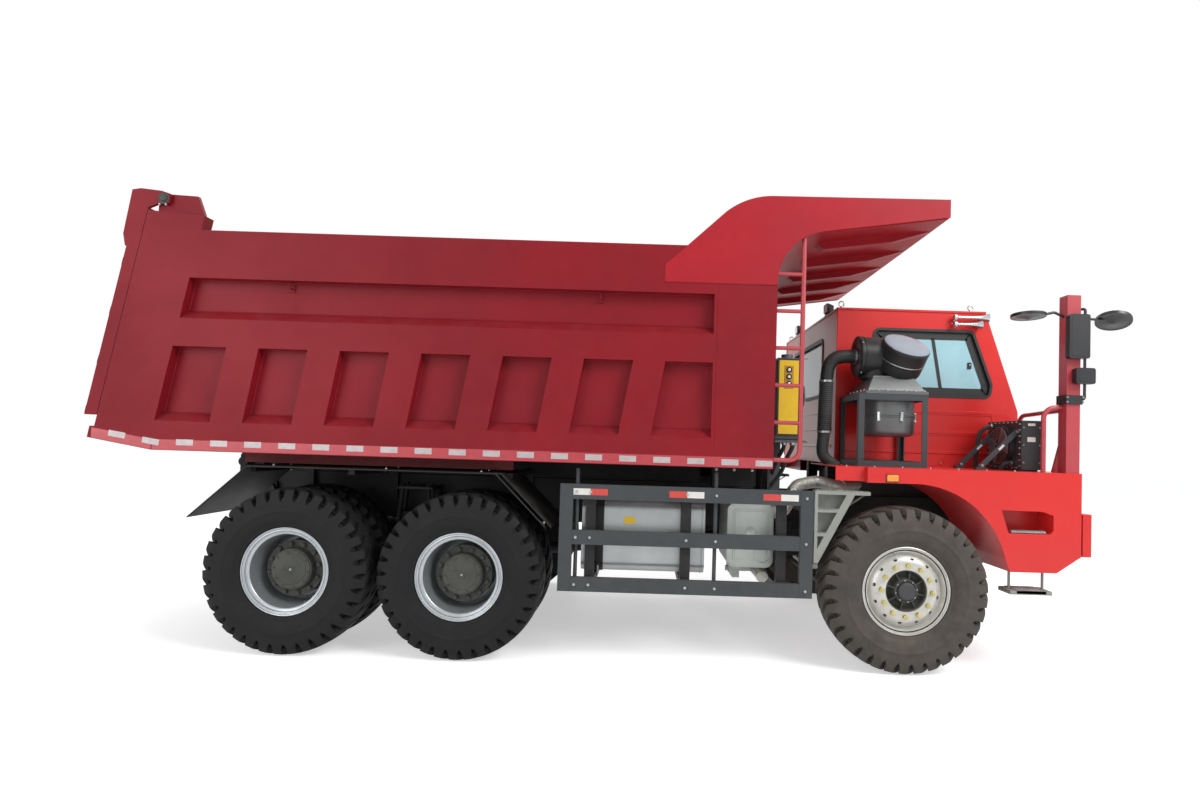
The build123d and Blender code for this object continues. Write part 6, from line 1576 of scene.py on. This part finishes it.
def filterHousing():
    shape = Shape(filterPaint)
    spec = filterSet
    cx, cy = spec["centre"]
    low, high = spec["z"]
    r = spec["radius"]
    ring = spec["ringZ"]
    shape.disc((cx, cy, 0), (0, 0, 1), [(low, 0), (low, r - 60), (low + 6, r - 34), (low + 20, r - 12),
        (low + 44, r), (ring - 14, r), (ring - 12, r + 8), (ring - 4, r + 9), (ring - 2, r + 2), (ring + 2,
        r + 2), (ring + 4, r + 9), (ring + 12, r + 8), (ring + 14, r - 3), (high - 60, r - 3), (high - 56,
        r - 7), (high - 48, r - 7), (high - 44, r - 3), (high, r - 3), (high, 0)], 96)
    # over-centre latches across the ring: seat, wire bail, lever
    latch = Shape(zincBright)
    latch.slab((-13, 13), (-46, -18), (r + 1, r + 7), edge=1.5)
    latch.slab((-9, 9), (-38, 26), (r + 9, r + 14), edge=1.5)
    for x in (-11, 11):
        latch.rod((x, -28, r + 10), (x, 24, r + 13), 2.6, 8)
    latch.slab((-14, 14), (18, 30), (r + 3, r + 15), edge=2)
    latch.slab((-10, 10), (-50, -36), (r + 6, r + 18), edge=2)
    shape.ring(latch, spec["latches"], start=0.2, turn=standUp((cx, cy, ring)))
    # square flange and the folded hopper above
    x0, x1, y0, y1, z0, z1 = spec["flange"]
    shape.slab((x0, x1), (y0, y1), (z0, z1), edge=4)
    a0, a1, b0, b1, top = spec["hopperTop"]
    loop = lambda p, q, s, t, z: [(p, s, z), (q, s, z), (q, t, z), (p, t, z)]
    made = shape.faces([loop(x0 + 22, x1 - 22, y0 + 22, y1 - 22, z1 - 1), loop(x0 + 26, x1 - 26, y0 + 26,
        y1 - 26, z1 + 14), loop(a0, a1, b0, b1, top - 10), loop(a0, a1, b0, b1, top)], caps=True)
    shape.soften(made, 4)
    for y in (y0 + 12, y1 - 12):
        shape.bolts(7, ((x1 - x0 - 60) / 6, 0, 0), (x0 + 30, y, z1), (0, 0, 1), 15, 8)
    for x in (x0 + 12, x1 - 12):
        shape.bolts(5, (0, (y1 - y0 - 180) / 4, 0), (x, y0 + 90, z1), (0, 0, 1), 15, 8)
    # feet of the stand bolted to the deck
    for x in (x0 - 30, x1 - 30):
        for y in (y0 + 26, y1 - 26):
            shape.hexHead((x, y, 1660), (0, 0, 1), 18, 12)
    # drum on its neck, with end rings and a seam
    neck = (spec["drumX"][0] + spec["drumX"][1]) / 2 + 20
    shape.disc((neck, spec["drumY"], 0), (0, 0, 1), [(top - 12, 0), (top - 12, 142), (top + 6, 142),
        (top + 10, 128), (top + 60, 126), (2600, 126), (2600, 0)], 56, finish=drumPaint)
    x0, x1 = spec["drumX"]
    r = spec["drumRadius"]
    place = (0, spec["drumY"], spec["drumZ"])
    shape.disc(place, (1, 0, 0), [(x0 + 4, 0), (x0 + 4, 86), (x0, 92), (x0, r - 20), (x0 + 3, r - 6),
        (x0 + 10, r), (x0 + 24, r), (x0 + 28, r - 6), (x0 + 40, r - 7), (x0 + 44, r - 2), (x0 + 54, r - 2),
        (x0 + 58, r - 8), (x1 - 60, r - 8), (x1 - 56, r - 3), (x1 - 44, r - 3), (x1 - 40, r - 8), (x1 - 4,
        r - 9), (x1, r - 16), (x1, 0)], 84, finish=drumPaint)
    for t in (0.9, 2.5, 4.1, 5.7):
        shape.hexHead((x0 + 17, spec["drumY"] + (r - 1) * cos(t), spec["drumZ"] + (r - 1) * sin(t)),
            (0, cos(t), sin(t)), 15, 9)
    # pre-cleaner bowl leaning out: dish, side, wire ring and the pale lid
    h, r = spec["bowlHalf"], spec["bowlRadius"]
    shape.disc(spec["bowl"], spec["bowlAxis"], [(-h - 60, 0), (-h - 60, 112), (-h - 6, 116), (-h, 128),
        (-h + 8, 160), (-h + 26, r - 14), (-h + 48, r - 6), (-16, r - 4), (-12, r - 1), (-6, r), (-2, r - 3),
        (6, r - 3), (h - 40, r - 2), (h - 34, r), (h - 12, r), (h - 6, r - 3), (h - 5, r - 12), (h - 5, 0)],
        96, finish=drumPaint)
    shape.disc(spec["bowl"], spec["bowlAxis"], [(h - 8, 0), (h - 8, r - 11), (h - 3, r - 7), (h + 1, r - 9),
        (h + 4, r - 16), (h + 5, r * 0.5), (h + 5.5, 0)], 96, finish=bowlPlastic)
    shape.lathe([(2, r - 5), (2, r + 1), (9, r + 1), (9, r - 5)], spec["bowl"], spec["bowlAxis"], 96,
        finish=zincBright)
    finishPiece(shape, "air_filter_housing", "chassis", ["air_filter"], angle=34)


def intakeDuct():
    shape = Shape(hoseRubber)
    y = filterSet["drumY"]
    # moulded elbow off the drum
    shape.pipe([(-258, y, 2630), (-330, y, 2630), (-410, y, 2622), (-470, y, 2590), (-506, y, 2530), (-518, y,
        2450), (-522, y, 2392)], 59, drumPaint, count=32, smooth=10,
        radii=lambda t: 64 if t < 0.08 else 60 + 2.5 * cos(t * 3))
    # convoluted rubber sleeve
    ribs = 26
    shape.pipe([(-522, y, 2408), (-524, y, 2300), (-528, y, 2180), (-530, y, 2060), (-533, y, 1938)], 0,
        count=32, smooth=52, radii=lambda t: 58 + 5.5 * abs(sin(t * pi * ribs)) ** 0.7)
    # tapered lower elbow into the boot on the deck
    shape.pipe([(-533, y, 1948), (-538, y, 1880), (-545, y, 1800), (-536, y, 1738), (-500, y, 1694), (-462, y,
        1672), (-455, y, 1657)], 0, count=32, smooth=8, radii=lambda t: 56 - 9 * t)
    shape.disc((-455, y, 1656), (0, 0, 1), [(0, 0), (0, 78), (8, 78), (12, 66), (30, 62), (32, 0)], 40)
    for x, z, axis, r in ((-522, 2399, (0, 0, 1), 63), (-533, 1944, (0, 0, 1), 62), (-272, 2630, (1, 0, 0),
            66)):
        shape.lathe([(-9, r - 3), (-9, r + 2), (9, r + 2), (9, r - 3)], (x, y, z), axis, 48,
            finish=zincBright)
        shape.slab((x - 12, x + 12), (y - r - 14, y - r + 2), (z - 7, z + 7), zincBright, edge=2)
        shape.rod((x - 20, y - r - 8, z), (x + 20, y - r - 8, z), 3.5, 10, finish=zincBright)
    finishPiece(shape, "intake_duct", "chassis", ["intake_pipe"], angle=42)


filterHousing()
intakeDuct()
print("air filter: done")


cooler = {"x": (1045, 1217), "y": (-1350, -790), "z": (1668, 2085), "fan": (-1070, 1870, 168), "blades": 9,
    "fins": 34}


def coolerDetails():
    shape = Shape(coolerPaint)
    (x0, x1), (y0, y1), (z0, z1) = cooler["x"], cooler["y"], cooler["z"]
    # fins in a frame on the front
    for y in (y0 + 6, y1 - 46):
        shape.slab((x1 - 2, x1 + 10), (y, y + 40), (z0 + 4, z1 - 4))
    for z in (z0 + 4, z1 - 34):
        shape.slab((x1 - 2, x1 + 10), (y0 + 40, y1 - 40), (z, z + 30), edge=3)
    fin = Shape(finMetal)
    fin.slab((x1 - 2, x1 + 6), (y0 + 46, y1 - 46), (z0 + 38, z0 + 41), edge=0)
    step = (z1 - z0 - 82) / (cooler["fins"] - 1)
    shape.row(fin, cooler["fins"], (0, 0, step))
    tube = Shape(finMetal)
    tube.slab((x1 - 3, x1 + 3), (y0 + 60, y0 + 66), (z0 + 34, z1 - 34), edge=0)
    shape.row(tube, 16, (0, (y1 - y0 - 126) / 15, 0))
    # fan in its shroud at the back
    fy, fz, fr = cooler["fan"]
    toX = Matrix.Translation((x0 - 30, fy, fz)) @ Matrix.Rotation(-pi / 2, 4, "Z")
    shape.lathe([(-6, fr - 2), (-6, fr + 8), (6, fr + 8), (6, fr - 2)], (x0 - 28, fy, fz), (1, 0, 0), 72)
    blade = Shape(trimPlastic)
    rings = []
    for k in range(7):
        t = k / 6
        r = 46 + (fr - 56) * t
        half, twist = 22 + 16 * t, 0.75 - 0.35 * t
        rings.append([(sx * half * cos(twist) + r * 0.12 * t, sx * half * sin(twist) * 0.45 + dy - 8,
            r) for sx, dy in ((-1, -1.5), (1, -1.5), (1, 1.5), (-1, 1.5))])
    blade.faces(rings, caps=True)
    shape.ring(blade, cooler["blades"], turn=toX)
    shape.disc((x0 - 30, fy, fz), (-1, 0, 0), [(-4, 0), (-4, 50), (10, 50), (16, 42), (18, 20), (18, 0)], 40,
        finish=trimPlastic)
    for k in range(8):
        r = 60 + k * 14
        shape.lathe([(-1.5, r - 1.5), (-1.5, r + 1.5), (1.5, r + 1.5), (1.5, r - 1.5)], (x0 - 50, fy, fz),
            (1, 0, 0), 56, finish=zincBright)
    for t in range(4):
        a = t * pi / 2 + 0.4
        shape.rod((x0 - 50, fy + 20 * cos(a), fz + 20 * sin(a)), (x0 - 50, fy + (fr + 6) * cos(a),
            fz + (fr + 6) * sin(a)), 3, 8, finish=zincBright)
    # bolts round the back and side, blank name plates, hose stubs
    for y in (y0 + 20, y1 - 20):
        shape.bolts(8, (0, 0, (z1 - z0 - 60) / 7), (x0, y, z0 + 30), (-1, 0, 0), 13, 7)
    for z in (z0 + 14, z1 - 14):
        shape.bolts(7, (0, (y1 - y0 - 140) / 6, 0), (x0, y0 + 70, z), (-1, 0, 0), 13, 7)
    for z in (z0 + 60, z1 - 60, (z0 + z1) / 2):
        for x in (x0 + 18, x1 - 18):
            shape.hexHead((x, y0, z), (0, -1, 0), 12, 7)
    for x, z, wide, tall in ((1100, 2040, 62, 22), (1096, 1905, 68, 40)):
        shape.slab((x, x + wide), (y0 - 2, y0 + 1), (z, z + tall), guardTapeWhite, edge=0.6)
    for y in (y0 + 60, y1 - 120):
        # grey flat-bar braces with a rolled edge
        shape.slab((-227, 227), (-6, 6), (-22, 22), guardPaint, edge=2.5, turn=Matrix.Translation((887.5, y,
            1838)) @ Matrix.Rotation(-pi / 4, 4, "Y"))
        for x, z in ((1040, 1990), (742, 1692)):
            shape.hexHead((x, y - 5, z), (0, -1, 0), 20, 11)
        shape.slab((-30, 30), (-1, 1.5), (-9, 9), guardTapeWhite, edge=0.5, turn=Matrix.Translation((905,
            y - 7, 1852)) @ Matrix.Rotation(-0.78, 4, "Y"))
    for y, z in ((y1 - 90, 2040), (y0 + 130, 1720)):
        shape.pipe([(x0 + 4, y, z), (x0 - 40, y, z), (x0 - 90, y + 6, z - 30), (x0 - 120, y + 30, z - 110),
            (x0 - 130, y + 60, 1660)] if z > 1900 else [(x0 + 4, y, z), (x0 - 40, y, z), (x0 - 74, y + 10,
            z - 16), (x0 - 86, y + 30, 1660)], 19, hoseRubber, count=16)
        shape.lathe([(-10, 18), (-10, 23), (10, 23), (10, 18)], (x0 - 18, y, z), (1, 0, 0), 28,
            finish=zincBright)
    finishPiece(shape, "cooler_fins_and_fan", "chassis", angle=36)


coolerDetails()
print("cooler: done")


def mirrorGlasses():
    shape = Shape(mirrorPlastic)
    for (x0, x1), (z0, z1) in (((1257, 1424), (2585, 2945)), ((1315, 1470), (2380, 2510))):
        shape.plate(roundBox((x0 + 14, x1 - 14), (z0 + 14, z1 - 14), 20), (-1597, -1593.5), mirrorGlass,
            edge=0.8)
        shape.plate(roundBox((x0 + 18, x1 - 18), (z0 + 18, z1 - 18), 26), (-1656, -1650), edge=3)
    for (z0, z1), (y0, y1), x in (((2590, 2940), (1435, 1625), 1395), ((2385, 2535), (1445, 1615), 1425)):
        outline = roundBox((y0 + 14, y1 - 14), (z0 + 14, z1 - 14), 20)
        shape.faces([[(x - 2.5, y, z) for y, z in outline], [(x + 1, y, z) for y, z in outline]], mirrorGlass,
            caps=True)
    for centre, axis in (((1688, -1535, 2922), (0.2, 0.35, 0.91)), ((985, -1535, 2940), (0, 0.05, 1))):
        shape.disc(centre, axis, [(12, 0), (12, 122), (15, 121), (16.5, 60), (17, 0)], 64, finish=mirrorGlass)
        shape.disc(centre, axis, [(-34, 0), (-30, 16), (-24, 34), (-14, 96), (-10, 118), (-10, 0)], 48)
        shape.lathe([(-14, 122), (-14, 131), (-8, 132), (12, 131), (14, 124), (12, 122)], centre, axis, 72)
    # clamp bolts on the post
    for z in (2235, 2272):
        for x in (1272, 1400):
            shape.hexHead((x, -1604, z), (0, -1, 0), 13, 8)
    shape.hexHead((1330, -1535, 3110), (0, 0, 1), 20, 8)
    finishPiece(shape, "mirror_glasses", "chassis", angle=36)


mirrorGlasses()
print("mirrors: done")


stair = {"y": (1500, 1590), "treads": [(-748, -300, 1453), (-748, -500, 1303), (-748, -600, 1110)],
    "step": (890, 1130, 1400, 1590, 700)}


def stairTreads():
    # pale punched plates screwed to each tread, with raised eyes for grip
    shape = Shape(treadMetal)
    near, far = stair["y"]
    spans = [(x0 + 8, x1 - 8, near + 6, far - 2, z) for x0, x1, z in stair["treads"]] + [stair["step"]]
    for side in (-1, 1):
        for x0, x1, inner, outer, z in spans:
            ys = sorted((side * inner, side * outer))
            shape.slab((x0, x1), ys, (z - 0.5, z + 4), edge=1.5)
            eye, eyes = Shape(treadMetal), Shape(treadMetal)
            eye.lathe([(0, 3.5), (0, 10), (4, 7), (4, 4.5)], (x0 + 22, ys[0] + 18, z + 3.8), (0, 0, 1), 10)
            eyes.row(eye, max(2, int((x1 - x0 - 30) / 32)), (32, 0, 0))
            shape.row(eyes, max(2, int((outer - inner - 20) / 30)), (0, 30, 0))
            # lip turned down over the outer edge
            shape.slab((x0, x1), (side * outer, side * (outer - 4)), (z - 24, z + 4), edge=1)
        # sloping back plates close the flight behind the treads
        for (ax, az), (bx, bz) in (((-330, 1436), (-520, 1306)), ((-500, 1296), (-650, 1116))):
            shape.plate([(ax, az), (bx, bz), (bx - 6, bz - 6), (ax - 6, az - 6)], (side * 1502, side * 1586),
                stepPaint, edge=1)
        # web plate closing the flight on its inner side
        shape.plate([(-745, 880), (-745, 1437), (-436, 1437), (-722, 880)], (side * 1501, side * 1507),
            stepPaint, edge=1)
        # grip strip in the fender's step pocket
        shape.slab((838, 1118), (side * 1596, side * 1540), (1165, 1178), edge=2)
        notch = Shape(treadMetal)
        notch.slab((846, 858), (side * 1592, side * 1546), (1177, 1185), edge=1.5)
        shape.row(notch, 14, (19.5, 0, 0))
    finishPiece(shape, "stair_tread_plates", "chassis", angle=36)


stairTreads()
print("stairs: done")


memberCover = {"x": (-1530, -1130), "z": (1425, 1612), "y": 1006, "sheet": 8}


def crossMemberCovers():
    # folded covers bolted under the body, over the ends of its front cross member
    shape = Shape(framePaint)
    (x0, x1), (z0, z1) = memberCover["x"], memberCover["z"]
    y, sheet = memberCover["y"], memberCover["sheet"]
    for side in (-1, 1):
        shape.slab((x0, x1), (side * y, side * (y - sheet)), (z0, z1), edge=2)
        for z in (z0, z1 - sheet):
            shape.slab((x0, x1), (side * y, side * (y - 70)), (z, z + sheet), edge=2)
        for x in (x0, x1 - sheet):
            shape.slab((x, x + sheet), (side * y, side * (y - 70)), (z0, z1), edge=2)
        for x in (x0 + 40, (x0 + x1) / 2, x1 - 40):
            shape.hexHead((x, side * y, z1 - 34), (0, side, 0), 22, 12)
    finishPiece(shape, "cross_member_covers", "bed", angle=38)


crossMemberCovers()
